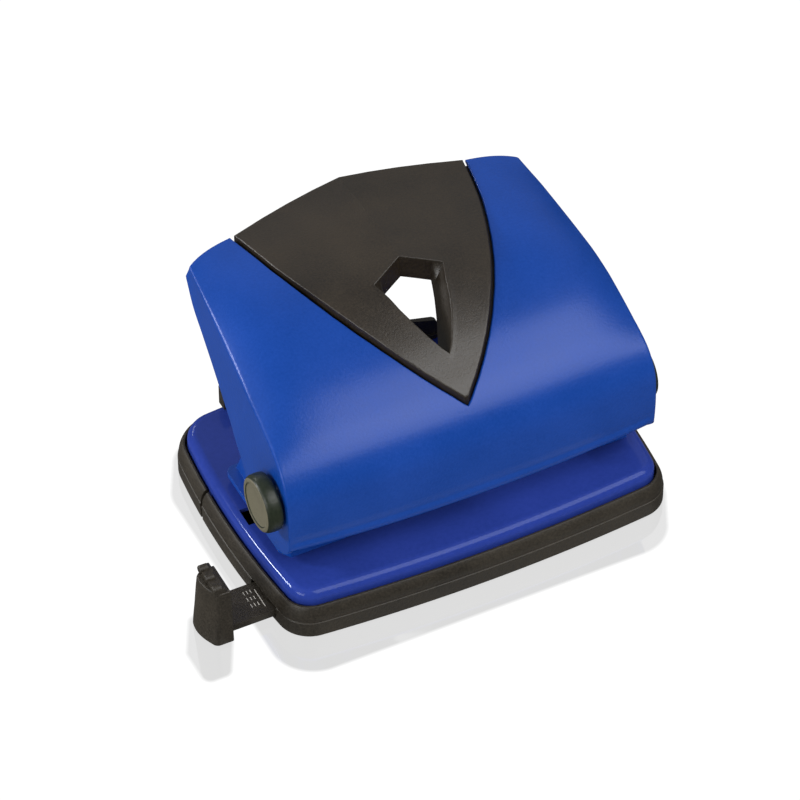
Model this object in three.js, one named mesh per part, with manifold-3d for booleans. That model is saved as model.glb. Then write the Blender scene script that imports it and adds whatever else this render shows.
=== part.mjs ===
// Two-hole office punch: millimetres, +X right, +Y towards the rear, +Z up.
// The origin is the centre of the footprint, on the surface that the punch stands on.
// Paper goes in from the front (-Y), the handle turns on an axle near the front,
// and its free end is at the rear.
import * as THREE from "three";
import { mergeVertices } from "three/addons/utils/BufferGeometryUtils.js";
import Module from "manifold-3d";

const wasm = await Module();
wasm.setup();

// ---------------------------------------------------------------- driving dimensions
const GAP = 0.3; // clearance between pieces that touch on the real punch
const SHEET = 1.2; // steel sheet of the cover plate and the handle

// Base footprint: four shallow arcs joined by corner arcs, the same for the skirt and the cover.
const HALF_WIDTH = 57.2;
const HALF_DEPTH = 41.2;
const SIDE_RADIUS = 250;
const END_RADIUS = 510;
const FRONT_CORNER = 9;
const REAR_CORNER = 12;

// Black plastic skirt and trays
const SKIRT_TOP = 9.3;
const SKIRT_SHOULDER = 6.2; // the skirt leans in above this height
const SKIRT_WALL = 4.2;
const LIP_IN = 2.1; // inner face of the thin upper lip
const LEDGE_TOP = 6.3; // the cover plate's rim stands on this ledge
const GROOVE_Z = 4.7; // fine parting groove round the skirt
const GROOVE = 0.35;
const FLOOR = 1.2;
const SEAM_Y = 12; // side seam between the fixed tray and the chip tray door
const SEAM_RADIUS = 18;
const SEAM_GAP = 0.9;
const TAB_TOP = 20.9; // thumb tab of the latch
const TAB_FOOT = 23.5; // half width of the tab at its foot
const LATCH_Y = [33.6, 35.4]; // the latch's strip along the cover's rear edge
const LATCH_END = 38;
const POST_X = [35, 40];
const POST_Y = [33.9, 37.2];
const POST_TOP = 19.5; // posts at the strip's ends

// Blue cover plate
const PLATE_IN = 2.7; // its rim stands this far inside the skirt's outline
const PLATE_TOP = 13;
const PLATE_BOTTOM = LEDGE_TOP + GAP;
const PLATE_SHOULDER = 2.6; // radius of the pressed edge
const NOTCH_X = [49.4, 52.2];
const NOTCH_Y = [-7, -1];

// Punching heads: 80 mm hole spacing
const PIN_X = 40;
const PIN_Y = -3;
const PIN_R = 2.75;
const STROKE_TIP_Z = 15.5; // cutting tip at rest, just above the paper slot
const STOP_DEPTH = 12; // hole centre to paper edge
const STOP_Y = PIN_Y + STOP_DEPTH;
const RIVET_X = 37.5;
const RIVET_Y = [STOP_Y + 6, STOP_Y + 13];
const RIVET_R = 1.5;
const SLOT = 2; // height of the paper slot
const BRACKET_SHEET = 1.6;
const BRACKET_IN = 33; // inner cheek's inner face
const BRACKET_OUT = 47.6; // outer cheek's outer face
const FOOT_OUT = 50.4; // the foot's flange reaches past the outer cheek
const HEEL_OUT = 41; // the heel behind the paper stop is narrower
const GUIDE_PLATE_Z = 24.5; // upper guide plate of each head
const COLLAR_Z = 42;
const HEAD_Z = 46.2;

// Axle and handle
const AXLE_Y = -22.9;
const AXLE_Z = 36.8;
const AXLE_R = 3;
const AXLE_LEFT = -55;
const AXLE_RIGHT = 52.7;
const CAP_R = 7.8;
const CAP_FACE_X = 57.4; // outer face of the left cap
const LOW_CAP_FACE_X = 53.5; // the right cap is a low one

// Paper guide: a flat bar that slides out to the left and ends in an upright stop, the fin
const BAR_BACK = -17.4;
const BAR_FRONT = -28.9;
const BAR_BOTTOM = 1.5;
const BAR_TOP = 3.7;
const BAR_LENGTH = 106;
const STOP_FACE = -68; // the stop's inner face: 68.5 mm format position less the fin's draft
const FIN_TOP = 20;
const FIN_BODY_TOP = 17.8; // below the ribbed thumb grip

// Chip tray door hinge
const HINGE_Y = -12.6;
const HINGE_Z = 2;
const HINGE_R = 0.8;
const BARREL_R = 1.7;

// ---------------------------------------------------------------- materials
const colour = (r, g, b) => new THREE.Color().setRGB(r / 255, g / 255, b / 255, THREE.SRGBColorSpace);
const finish = (rgb, roughness, metalness) => () =>
  new THREE.MeshStandardMaterial({ color: colour(...rgb), roughness, metalness });
const bluePaint = finish([44, 72, 165], 0.45, 0.1);
const glossBlue = finish([36, 62, 150], 0.2, 0.1);
const blackPlastic = finish([52, 48, 42], 0.65, 0);
const greyPlastic = finish([112, 108, 92], 0.6, 0);
const steel = finish([170, 172, 175], 0.3, 0.9);
const springSteel = finish([140, 142, 146], 0.35, 0.9);

// ---------------------------------------------------------------- solid helpers
function toSolid(geometry) {
  const bare = geometry.clone();
  bare.deleteAttribute("normal");
  bare.deleteAttribute("uv");
  const merged = mergeVertices(bare.index ? bare.toNonIndexed() : bare, 1e-4);
  return new wasm.Manifold(new wasm.Mesh({
    numProp: 3,
    vertProperties: new Float32Array(merged.attributes.position.array),
    triVerts: new Uint32Array(merged.index.array),
  }));
}

function toGeometry(solid) {
  const mesh = solid.getMesh();
  const geometry = new THREE.BufferGeometry();
  geometry.setAttribute("position", new THREE.BufferAttribute(new Float32Array(mesh.vertProperties), 3));
  geometry.setIndex(new THREE.BufferAttribute(new Uint32Array(mesh.triVerts), 1));
  geometry.computeVertexNormals();
  return geometry;
}

const union = (...solids) => solids.reduce((all, next) => all.add(next));
const cut = (solid, ...tools) => tools.reduce((all, next) => all.subtract(next), solid);

function block(x0, x1, y0, y1, z0, z1) {
  const geometry = new THREE.BoxGeometry(x1 - x0, y1 - y0, z1 - z0);
  geometry.translate((x0 + x1) / 2, (y0 + y1) / 2, (z0 + z1) / 2);
  return toSolid(geometry);
}

function rodX(x0, x1, y, z, radius, sides = 32) {
  const geometry = new THREE.CylinderGeometry(radius, radius, x1 - x0, sides);
  geometry.rotateZ(Math.PI / 2);
  geometry.translate((x0 + x1) / 2, y, z);
  return toSolid(geometry);
}

function rodZ(x, y, z0, z1, radius, sides = 32) {
  const geometry = new THREE.CylinderGeometry(radius, radius, z1 - z0, sides);
  geometry.rotateX(Math.PI / 2);
  geometry.translate(x, y, (z0 + z1) / 2);
  return toSolid(geometry);
}

// A lathe about a vertical axis through (x, y): profile points are [radius, height].
function turnedZ(x, y, profile, sides = 32) {
  const geometry = new THREE.LatheGeometry(profile.map(([r, z]) => new THREE.Vector2(r, z)), sides);
  geometry.rotateX(Math.PI / 2);
  geometry.translate(x, y, 0);
  return toSolid(geometry);
}

// A plan outline in X and Y, raised from z0 to z1.
function prismZ(shape, z0, z1, curveSegments = 12) {
  const geometry = new THREE.ExtrudeGeometry(shape, { depth: z1 - z0, bevelEnabled: false, curveSegments });
  geometry.translate(0, 0, z0);
  return toSolid(geometry);
}

// A front outline in X and Z, run along Y from y0 to y1.
function prismY(points, y0, y1) {
  return ringSolid([y1, y0].map((y) => points.map(([x, z]) => [x, y, z])), false);
}

// A side outline in Y and Z, run along X from x0 to x1.
function prismX(shape, x0, x1, curveSegments = 12) {
  const geometry = new THREE.ExtrudeGeometry(shape, { depth: x1 - x0, bevelEnabled: false, curveSegments });
  const sideOn = new THREE.Matrix4().makeBasis(
    new THREE.Vector3(0, 1, 0), new THREE.Vector3(0, 0, 1), new THREE.Vector3(1, 0, 0));
  geometry.applyMatrix4(sideOn);
  geometry.translate(x0, 0, 0);
  return toSolid(geometry);
}

const polygon = (points) => new THREE.Shape(points.map(([a, b]) => new THREE.Vector2(a, b)));

// Closed solid from rings of points: rings[i][j] joins rings[i + 1][j]; the ends are closed by fans,
// or the last ring joins the first when the profile closes on itself.
function ringSolid(rings, profileCloses) {
  const count = rings[0].length;
  const points = rings.flat();
  const index = [];
  const last = profileCloses ? rings.length : rings.length - 1;
  for (let i = 0; i < last; i++) {
    const next = (i + 1) % rings.length;
    for (let j = 0; j < count; j++) {
      const k = (j + 1) % count;
      const [a, b, c, d] = [i * count + j, i * count + k, next * count + k, next * count + j];
      index.push(a, b, c, a, c, d);
    }
  }
  if (!profileCloses) {
    for (const [ring, flip] of [[0, true], [rings.length - 1, false]]) {
      const centre = points.length;
      const sum = rings[ring].reduce((s, p) => s.map((v, n) => v + p[n] / count), [0, 0, 0]);
      points.push(sum);
      for (let j = 0; j < count; j++) {
        const [a, b] = [ring * count + j, ring * count + (j + 1) % count];
        index.push(...(flip ? [centre, b, a] : [centre, a, b]));
      }
    }
  }
  const geometry = new THREE.BufferGeometry();
  geometry.setAttribute("position", new THREE.Float32BufferAttribute(points.flat(), 3));
  geometry.setIndex(index);
  return toSolid(geometry);
}

// Closed sheet: two matching grids of points, an outer and an inner face, joined round their rims.
function sheetSolid(outer, inner) {
  const rows = outer.length;
  const columns = outer[0].length;
  const points = [...outer.flat(), ...inner.flat()];
  const offset = rows * columns;
  const index = [];
  const quad = (a, b, c, d) => index.push(a, b, c, a, c, d);
  for (let i = 0; i + 1 < rows; i++) {
    for (let j = 0; j + 1 < columns; j++) {
      const [a, b] = [i * columns + j, i * columns + j + 1];
      const [c, d] = [b + columns, a + columns];
      quad(a, b, c, d);
      quad(a + offset, d + offset, c + offset, b + offset);
    }
  }
  const rim = [];
  for (let j = 0; j < columns - 1; j++) rim.push(j);
  for (let i = 0; i < rows - 1; i++) rim.push(i * columns + columns - 1);
  for (let j = columns - 1; j > 0; j--) rim.push((rows - 1) * columns + j);
  for (let i = rows - 1; i > 0; i--) rim.push(i * columns);
  rim.forEach((a, n) => {
    const b = rim[(n + 1) % rim.length];
    quad(b, a, a + offset, b + offset);
  });
  const geometry = new THREE.BufferGeometry();
  geometry.setAttribute("position", new THREE.Float32BufferAttribute(points.flat(), 3));
  geometry.setIndex(index);
  return toSolid(geometry);
}

// ---------------------------------------------------------------- base footprint
// One quarter of the outline, from the middle of the end (0, depth) round the corner to (width, 0).
function quarterOutline(inset, cornerRadius, steps = 5) {
  const corner = cornerRadius - inset;
  const end = { y: HALF_DEPTH - END_RADIUS, r: END_RADIUS - inset };
  const side = { x: HALF_WIDTH - SIDE_RADIUS, r: SIDE_RADIUS - inset };
  // The corner arc's centre touches both long arcs from inside.
  const [r1, r2] = [end.r - corner, side.r - corner];
  const span = Math.hypot(side.x, end.y);
  const along = (r1 * r1 - r2 * r2 + span * span) / (2 * span);
  const across = Math.sqrt(r1 * r1 - along * along);
  const [ux, uy] = [side.x / span, -end.y / span];
  const cx = ux * along + uy * across;
  const cy = end.y + uy * along - ux * across;
  const endAngle = Math.atan2(cy - end.y, cx);
  const sideAngle = Math.atan2(cy, cx - side.x);
  const points = [];
  const arc = (x, y, r, from, to, n) => {
    for (let i = 0; i < n; i++) {
      const t = from + ((to - from) * i) / n;
      points.push([x + r * Math.cos(t), y + r * Math.sin(t)]);
    }
  };
  arc(0, end.y, end.r, Math.PI / 2, endAngle, steps);
  arc(cx, cy, corner, endAngle, sideAngle, steps);
  arc(side.x, 0, side.r, sideAngle, 0, steps);
  points.push([side.x + side.r, 0]);
  return points;
}

// The whole outline, counter-clockwise from the middle of the right side.
function footprint(inset) {
  const rear = quarterOutline(inset, REAR_CORNER);
  const front = quarterOutline(inset, FRONT_CORNER);
  const rightRear = [...rear].reverse();
  const leftRear = rear.slice(1).map(([x, y]) => [-x, y]);
  const leftFront = [...front].reverse().slice(1).map(([x, y]) => [-x, -y]);
  const rightFront = front.slice(1, -1).map(([x, y]) => [x, -y]);
  return [...rightRear, ...leftRear, ...leftFront, ...rightFront];
}

const ringAt = (inset, z) => footprint(inset).map(([x, y]) => [x, y, z]);
const footprintPrism = (inset, z0, z1) => ringSolid([ringAt(inset, z0), ringAt(inset, z1)], false);

// ---------------------------------------------------------------- skirt, trays and door
// Section of the skirt: [inset, height], up the outside and down the inside.
const SKIRT_SECTION = [
  [0.4, 0], [0, 0.5], [0, GROOVE_Z - GROOVE / 2], [GROOVE, GROOVE_Z], [0, GROOVE_Z + GROOVE / 2],
  [0, SKIRT_SHOULDER], [0.35, 7.4], [0.95, 8.6], [1.6, SKIRT_TOP], [LIP_IN, SKIRT_TOP],
  [LIP_IN, LEDGE_TOP], [SKIRT_WALL, LEDGE_TOP], [SKIRT_WALL, 0],
];

function skirtRing() {
  return ringSolid(SKIRT_SECTION.map(([inset, z]) => ringAt(inset, z)), true);
}

// The region in front of the seam: its edge bulges to the rear between floor and lip.
function seamRegion(shift) {
  const half = 12;
  const bulge = new THREE.Shape();
  const middle = SKIRT_TOP / 2;
  const centre = SEAM_Y + 0.5 - SEAM_RADIUS + shift;
  const angle = Math.asin(half / SEAM_RADIUS);
  bulge.moveTo(-60, middle - half);
  bulge.lineTo(centre + SEAM_RADIUS * Math.cos(angle), middle - half);
  bulge.absarc(centre, middle, SEAM_RADIUS, -angle, angle, false);
  bulge.lineTo(-60, middle + half);
  bulge.closePath();
  return prismX(bulge, -80, 80);
}

const BARREL_SPLIT = [10, 31]; // the door's barrels run between these distances from the centre
const FRAME_FLOOR_BACK = HINGE_Y - BARREL_R - GAP; // rear edge of the fixed tray's floor
const DOOR_FLOOR_FRONT = HINGE_Y + BARREL_R + GAP; // front edge of the door's floor

function baseFrame() {
  const ring = skirtRing().intersect(seamRegion(0));
  const floor = footprintPrism(SKIRT_WALL - 0.5, 0, FLOOR)
    .intersect(block(-80, 80, -60, FRAME_FLOOR_BACK, -1, 5));
  // Two ribs guide the bar, and carry the hinge's fixed barrels behind them.
  const frontRib = block(-46, 46, BAR_FRONT - 1.5, BAR_FRONT - GAP, 0.5, BAR_TOP + 1);
  const rearRib = block(-52, 46, BAR_BACK + GAP, BAR_BACK + 1.5, 0.5, BAR_TOP + 1);
  const barSlot = block(-80, -50, BAR_FRONT - GAP, BAR_BACK + GAP, BAR_BOTTOM - GAP, GROOVE_Z);
  const barrels = [[-44, -BARREL_SPLIT[1] - GAP], [-BARREL_SPLIT[0] + GAP, BARREL_SPLIT[0] - GAP],
    [BARREL_SPLIT[1] + GAP, 44]].map(([x0, x1]) => union(rodX(x0, x1, HINGE_Y, HINGE_Z, BARREL_R, 20),
    block(x0, x1, FRAME_FLOOR_BACK - 0.5, HINGE_Y, 0.3, FLOOR)));
  return cut(union(ring, floor, frontRib, rearRib, ...barrels), barSlot,
    rodX(-45, 45, HINGE_Y, HINGE_Z, HINGE_R + 0.3, 20));
}

function chipTrayDoor() {
  const ring = cut(skirtRing(), seamRegion(SEAM_GAP));
  const rearFloor = cut(footprintPrism(SKIRT_WALL - 0.5, 0, FLOOR),
    block(-80, 80, -60, SEAM_Y + 0.6, -1, 5));
  const midFloor = footprintPrism(SKIRT_WALL + 0.5, 0, FLOOR)
    .intersect(block(-80, 80, DOOR_FLOOR_FRONT, SEAM_Y + 2, -1, 5));
  const barrels = [-1, 1].map((side) => {
    const [x0, x1] = BARREL_SPLIT.map((x) => side * x).sort((a, b) => a - b);
    return union(rodX(x0, x1, HINGE_Y, HINGE_Z, BARREL_R, 20),
      block(x0, x1, HINGE_Y, DOOR_FLOOR_FRONT + 0.5, 0.3, FLOOR));
  });
  const bore = rodX(-45, 45, HINGE_Y, HINGE_Z, HINGE_R + 0.3, 20);
  return cut(union(ring, rearFloor, midFloor, ...barrels), bore);
}

// Latch strip clipped over the cover's rear edge: a low thumb tab in the middle and a post at each end.
function trayLatch() {
  const foot = PLATE_TOP + GAP;
  const strip = block(-LATCH_END, LATCH_END, ...LATCH_Y, foot, foot + 1.3);
  const side = polygon([[34.2, foot], [36.8, foot], [36.2, TAB_TOP], [34.8, TAB_TOP]]);
  const slope = prismX(side, -TAB_FOOT, TAB_FOOT);
  const half = [[TAB_FOOT, foot], [23.1, 18.1], [22.1, 18.9], [15, TAB_TOP]];
  const front = prismY([...half, ...half.map(([x, z]) => [-x, z]).reverse()], 30, 40);
  const posts = [-1, 1].map((end) => {
    const [x0, x1] = POST_X.map((x) => end * x).sort((a, b) => a - b);
    return block(x0, x1, ...POST_Y, foot, POST_TOP);
  });
  return union(strip, slope.intersect(front), ...posts);
}

// ---------------------------------------------------------------- cover plate and dies
function basePlate() {
  const section = (inset, thickness) => {
    const radius = PLATE_SHOULDER - thickness;
    const rings = [ringAt(inset + thickness, PLATE_BOTTOM - (thickness > 0 ? 1 : 0))];
    const steps = 4;
    for (let i = 0; i <= steps; i++) {
      const t = (Math.PI / 2) * (i / steps);
      rings.push(ringAt(inset + thickness + radius * (1 - Math.cos(t)),
        PLATE_TOP - PLATE_SHOULDER + radius * Math.sin(t)));
    }
    return ringSolid(rings, false);
  };
  const holes = [-1, 1].flatMap((side) => [rodZ(side * PIN_X, PIN_Y, 5, 20, 4, 28),
    ...RIVET_Y.map((y) => rodZ(side * RIVET_X, y, 5, 20, RIVET_R + 0.15, 14))]);
  // A notch beside each slot lets the paper edge run off the plate.
  const notches = [-1, 1].map((side) => {
    const [x0, x1] = NOTCH_X.map((x) => side * x).sort((a, b) => a - b);
    return block(x0, x1, ...NOTCH_Y, 5, 20);
  });
  return cut(section(PLATE_IN, 0), section(PLATE_IN, SHEET), ...holes, ...notches);
}

function diePlate(side) {
  const top = PLATE_TOP - SHEET - GAP;
  return cut(block(side * PIN_X - 7, side * PIN_X + 7, PIN_Y - 8, PIN_Y + 8, top - 1.8, top),
    rodZ(side * PIN_X, PIN_Y, 5, 20, PIN_R + 0.15, 28));
}

// ---------------------------------------------------------------- punching heads
const FOOT_Z = PLATE_TOP + SLOT; // underside of the foot over the paper slot
const FOOT_FRONT = -24;
const FOOT_CORNER = 2.4;

function punchBracket(side) {
  const s = BRACKET_SHEET;
  const span = (a, b) => [side * a, side * b].sort((p, q) => p - q);
  const [in0, out0] = span(BRACKET_IN, BRACKET_OUT);
  // Foot with a rounded rear corner on its outer flange, then a step down to the cover.
  const corner = [0, 1, 2, 3, 4].map((n) => (n * Math.PI) / 8)
    .map((t) => [FOOT_OUT - FOOT_CORNER * (1 - Math.cos(t)), STOP_Y + FOOT_CORNER * Math.sin(t)]);
  const foot = [[BRACKET_IN, FOOT_FRONT], [FOOT_OUT - 2, FOOT_FRONT], [FOOT_OUT, FOOT_FRONT + 3], ...corner,
    [BRACKET_IN, STOP_Y + FOOT_CORNER]].map(([x, y]) => [side * x, y]);
  const footPlate = prismZ(polygon(foot), FOOT_Z, FOOT_Z + s);
  const stop = block(in0, out0, STOP_Y, STOP_Y + s, PLATE_TOP + GAP, FOOT_Z + s);
  const heelFoot = PLATE_TOP + GAP;
  const heel = block(...span(BRACKET_IN, HEEL_OUT), STOP_Y, STOP_Y + 17, heelFoot, heelFoot + s);
  // Cheeks rise from the foot to the axle.
  const cheek = new THREE.Shape();
  cheek.moveTo(FOOT_FRONT + 1, FOOT_Z);
  cheek.lineTo(STOP_Y + 2, FOOT_Z);
  cheek.lineTo(4, 29);
  cheek.lineTo(-14, 42);
  cheek.absarc(AXLE_Y, AXLE_Z, 6, Math.PI / 4, Math.PI, false);
  cheek.closePath();
  const cheeks = [[BRACKET_IN, BRACKET_IN + s], [BRACKET_OUT - s, BRACKET_OUT]].map(([a, b]) => {
    const [x0, x1] = span(a, b);
    return prismX(cheek, x0, x1, 10);
  });
  const guidePlate = block(in0, out0, PIN_Y - 7, PIN_Y + 5, GUIDE_PLATE_Z, GUIDE_PLATE_Z + s);
  const bracket = union(footPlate, stop, heel, ...cheeks, guidePlate);
  const x = side * PIN_X;
  return cut(bracket, rodZ(x, PIN_Y, 5, 40, PIN_R + 0.15, 28),
    rodX(-60, 60, AXLE_Y, AXLE_Z, AXLE_R + 0.15, 32),
    ...RIVET_Y.map((y) => rodZ(side * RIVET_X, y, 5, 20, RIVET_R + 0.15, 14)));
}

function rivet(x, y) {
  const base = PLATE_TOP + GAP + BRACKET_SHEET;
  const underside = PLATE_TOP - SHEET;
  return turnedZ(x, y, [[0, underside - 1.2], [2.2, underside - 1.2], [2.4, underside - 0.4],
    [2.4, underside - GAP], [RIVET_R, underside - GAP], [RIVET_R, base + GAP], [2.8, base + GAP],
    [2.4, base + 1.3], [0, base + 1.7]], 14);
}

function punchPin(x) {
  // The cutting end is hollow ground: a shallow cup.
  return turnedZ(x, PIN_Y, [[0, STROKE_TIP_Z + 0.9], [PIN_R - 0.5, STROKE_TIP_Z], [PIN_R, STROKE_TIP_Z + 0.2],
    [PIN_R, COLLAR_Z + 0.6], [2.2, COLLAR_Z + 0.6], [2.2, COLLAR_Z + 2], [PIN_R, COLLAR_Z + 2],
    [PIN_R, HEAD_Z - 0.8], [2, HEAD_Z], [0, HEAD_Z]], 28);
}

function pinCollar(x) {
  const [bore, rim] = [2.4, 5];
  const [low, high] = [COLLAR_Z + 0.75, COLLAR_Z + 1.85];
  return turnedZ(x, PIN_Y, [[bore, low], [rim, low], [rim, high], [bore, high], [bore, low]], 28);
}

// Return spring: a wire helix with flat ends, between the upper guide plate and the collar.
function returnSpring(x) {
  const wire = 0.55;
  const coil = 4.3;
  const bottom = GUIDE_PLATE_Z + BRACKET_SHEET + GAP + wire;
  const top = COLLAR_Z + 0.75 - GAP - wire;
  const turns = 6;
  class Helix extends THREE.Curve {
    getPoint(t, target = new THREE.Vector3()) {
      const angle = t * turns * 2 * Math.PI;
      return target.set(x + coil * Math.cos(angle), PIN_Y + coil * Math.sin(angle),
        bottom + (top - bottom) * t);
    }
  }
  const section = new THREE.Shape();
  section.absarc(0, 0, wire, 0, 2 * Math.PI, false);
  const geometry = new THREE.ExtrudeGeometry(section, {
    steps: turns * 12, curveSegments: 3, bevelEnabled: false, extrudePath: new Helix(),
  });
  return toSolid(geometry);
}

// ---------------------------------------------------------------- axle
const HIGH_CAP = [[0, 0], [CAP_R - 0.9, 0], [CAP_R, 0.9], [CAP_R, 3.2], [CAP_R - 0.6, 4.1],
  [CAP_R - 1.5, 4.5], [CAP_R - 2.2, 4.35], [0, 4.05]];
const LOW_CAP = [[0, 0], [CAP_R - 0.3, 0], [CAP_R, 0.3], [CAP_R, 0.8], [CAP_R - 0.4, 1.2], [0, 1.2]];

// Cap pressed on an end of the axle: a high one on the left, a low one on the right.
function axleCap(side) {
  const [profile, face] = side < 0 ? [HIGH_CAP, CAP_FACE_X] : [LOW_CAP, LOW_CAP_FACE_X];
  const height = Math.max(...profile.map(([, h]) => h));
  const geometry = new THREE.LatheGeometry(profile.map(([r, h]) => new THREE.Vector2(r, h)), 40);
  geometry.rotateZ(-Math.PI / 2);
  geometry.rotateY(side > 0 ? 0 : Math.PI);
  geometry.translate(side * (face - height), AXLE_Y, AXLE_Z);
  const bore = rodX(AXLE_LEFT - GAP, AXLE_RIGHT + GAP, AXLE_Y, AXLE_Z, AXLE_R + GAP / 2);
  return cut(toSolid(geometry), bore);
}

// ---------------------------------------------------------------- handle
// Centre line of the handle's outer face, from the front edge up over the top to the free end: [y, z].
const ROOF_LINE = [[-33.4, 24.2], [-33.6, 30], [-33.3, 36], [-32.3, 42], [-29.7, 47.5], [-25.5, 52.1],
  [-20.4, 55.8], [-13.2, 60], [-3.3, 63.6], [6, 65.8], [16.6, 67.1], [27, 67.5], [34, 67.3], [41.2, 66.8]];
// Crease between the face and the side flanges, at the same places along the handle: [y, z].
const CREASE_LINE = [[-31.2, 25.2], [-31.5, 30], [-31.5, 35.6], [-30.6, 42.2], [-27.2, 47.7],
  [-22.9, 50.8], [-18, 53.2], [-10, 56.4], [-1, 59.4], [6.5, 61], [16.6, 62.8], [25.5, 64.2], [31, 64.8],
  [36, 65.4]];
// Free edge of the flanges, from the front corner round the axle and up to the free end: [y, z].
const FLANGE_EDGE = [[-30.6, 24.1], [-28.2, 21.8], [-23.5, 19.8], [-18, 19.2], [-12.3, 20.2], [-7.6, 23.6],
  [-4.2, 28.6], [-1.2, 34.2], [3.2, 39], [9.8, 43.6], [17.6, 47.8], [25, 51.6], [31.8, 55.8],
  [36.9, 61.8]];
const HALF_WIDTHS = [[-34, 52.4], [-29, 52.2], [-20, 51.6], [-7, 51.3], [2, 50.7], [12, 49.8], [25, 48.6],
  [36, 47.4]];

const curveThrough = (points) =>
  new THREE.CatmullRomCurve3(points.map(([y, z]) => new THREE.Vector3(0, y, z)), false, "centripetal");
const roofCurve = curveThrough(ROOF_LINE);
const creaseCurve = curveThrough(CREASE_LINE);
const edgeCurve = curveThrough(FLANGE_EDGE);

function halfWidthAt(y) {
  const k = HALF_WIDTHS.findIndex(([other]) => other > y);
  const [[y0, w0], [y1, w1]] = [HALF_WIDTHS[Math.max(k - 1, 0)], HALF_WIDTHS[Math.max(k, 1)]];
  return w0 + ((w1 - w0) * (y - y0)) / (y1 - y0);
}

const BEND = 0.7; // bend radius at the creases
const ARCH_END = 0.985; // the arch stops this far along the half width, at the bend
const REAR_ROLL = 8; // power of the roll near the creases at the free end
const SPLAY = 0.7; // the flanges lean out by this much at their rear edge

// How far the face has come down from its middle (0) to its crease (1), u across: it is bowed at its front
// edge; on top it stays flat and rolls down near the creases.
function archDrop(t, u) {
  const { clamp, lerp } = THREE.MathUtils;
  const power = t < 0.3 ? lerp(2.2, 4, t / 0.3) : lerp(4, 8, Math.min((t - 0.3) / 0.3, 1));
  const atEnd = 0.4 * Math.pow(u, 3) + 0.6 * Math.pow(u, REAR_ROLL);
  return lerp(Math.pow(u, power), atEnd, clamp((t - 0.8) / 0.2, 0, 1));
}

// One cross-section of the handle's outer face, from the left flange's edge to the right one's.
function handleSection(t) {
  const roof = roofCurve.getPoint(t);
  const crease = creaseCurve.getPoint(t);
  const edge = edgeCurve.getPoint(t);
  const width = halfWidthAt(crease.y);
  const half = [];
  const archSteps = 8;
  for (let i = 0; i <= archSteps; i++) {
    const u = Math.sin((Math.PI / 2) * (i / archSteps)) * ARCH_END;
    const drop = archDrop(t, u);
    half.push([u * width, roof.y + (crease.y - roof.y) * drop, roof.z + (crease.z - roof.z) * drop]);
  }
  const length = Math.hypot(edge.y - crease.y, edge.z - crease.z);
  const flangeSteps = 3;
  const splay = SPLAY * THREE.MathUtils.smoothstep(t, 0.45, 0.6);
  for (let i = 0; i <= flangeSteps; i++) {
    const f = Math.max(i / flangeSteps, Math.min(BEND / length, 0.2));
    half.push([width + splay * f, crease.y + (edge.y - crease.y) * f, crease.z + (edge.z - crease.z) * f]);
  }
  const left = [...half].reverse().slice(0, -1).map(([x, y, z]) => [-x, y, z]);
  return [...left, ...half];
}

function surfaceNormals(grid) {
  const at = (i, j) => new THREE.Vector3(...grid[i][j]);
  return grid.map((row, i) => row.map((_, j) => {
    const across = at(i, Math.min(j + 1, row.length - 1)).sub(at(i, Math.max(j - 1, 0)));
    const along = at(Math.min(i + 1, grid.length - 1), j).sub(at(Math.max(i - 1, 0), j));
    return across.cross(along).normalize();
  }));
}

function thickened(grid, thickness) {
  const normals = surfaceNormals(grid);
  const inner = grid.map((row, i) => row.map((p, j) => {
    const n = normals[i][j];
    return [p[0] - n.x * thickness, p[1] - n.y * thickness, p[2] - n.z * thickness];
  }));
  return sheetSolid(grid, inner);
}

// V-shaped opening in plan, from the free end to a point low on the front curve.
const VEE = [[34.6, 46], [33.8, 40], [32, 31.5], [30.2, 23.5], [28, 16.4], [25.6, 9.6], [22.9, 3],
  [19.7, -3.4], [15.5, -10.4], [12.4, -14.8], [9, -18.9], [5.3, -22.8], [1.4, -26.4]];
const TIP_Y = -27.4;

function veeShape(inset, back = 60) {
  const right = VEE.map(([x, y]) => [Math.max(x - inset, 0.2), y]);
  const outline = [[0, TIP_Y + inset * 1.2], ...right.reverse(), [right[right.length - 1][0], back]];
  const left = outline.slice(1).reverse().map(([x, y]) => [-x, y]);
  return polygon([...outline, ...left]);
}

function handleShell() {
  const stations = 28;
  const grid = [];
  for (let i = 0; i <= stations; i++) grid.push(handleSection(i / stations));
  const sheet = thickened(grid, SHEET);
  return cut(sheet, prismZ(veeShape(0), 44, 80), rodX(-60, 60, AXLE_Y, AXLE_Z, AXLE_R + 0.2, 32));
}

// ---------------------------------------------------------------- handle insert
const RIDGE_HEIGHT = 2.4; // the insert's centre ridge above the blue face, at the free end
const mirrored = (half) => [...half, ...half.slice(1, -1).reverse().map(([x, y]) => [-x, y])];
// The opening's rim in plan, and its outline at the foot of its slanting walls.
const HOLE = mirrored([[0, -16.6], [1.5, -14.7], [3.25, -11.7], [5.2, -7.5], [6.9, -2.9], [7.95, 1.1],
  [9.6, 5.9], [0, 11.2]]);
const HOLE_FOOT = mirrored([[0, -10.3], [1, -8.6], [1.7, -7], [2.3, -5.6], [2.9, -4.3], [5, 1.4], [6.8, 6.85],
  [0, 10.5]]);
const COLLAR_DEPTH = 6.2;
const PLATE_DEPTH = 3.7;
const INSERT_IN = 0.9; // gap between the sheet's edge and the insert, in plan

function roofHeight(y) {
  let [low, high] = [0.05, 1];
  for (let i = 0; i < 40; i++) {
    const middle = (low + high) / 2;
    if (roofCurve.getPoint(middle).y < y) low = middle;
    else high = middle;
  }
  return roofCurve.getPoint(low).z;
}

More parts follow.
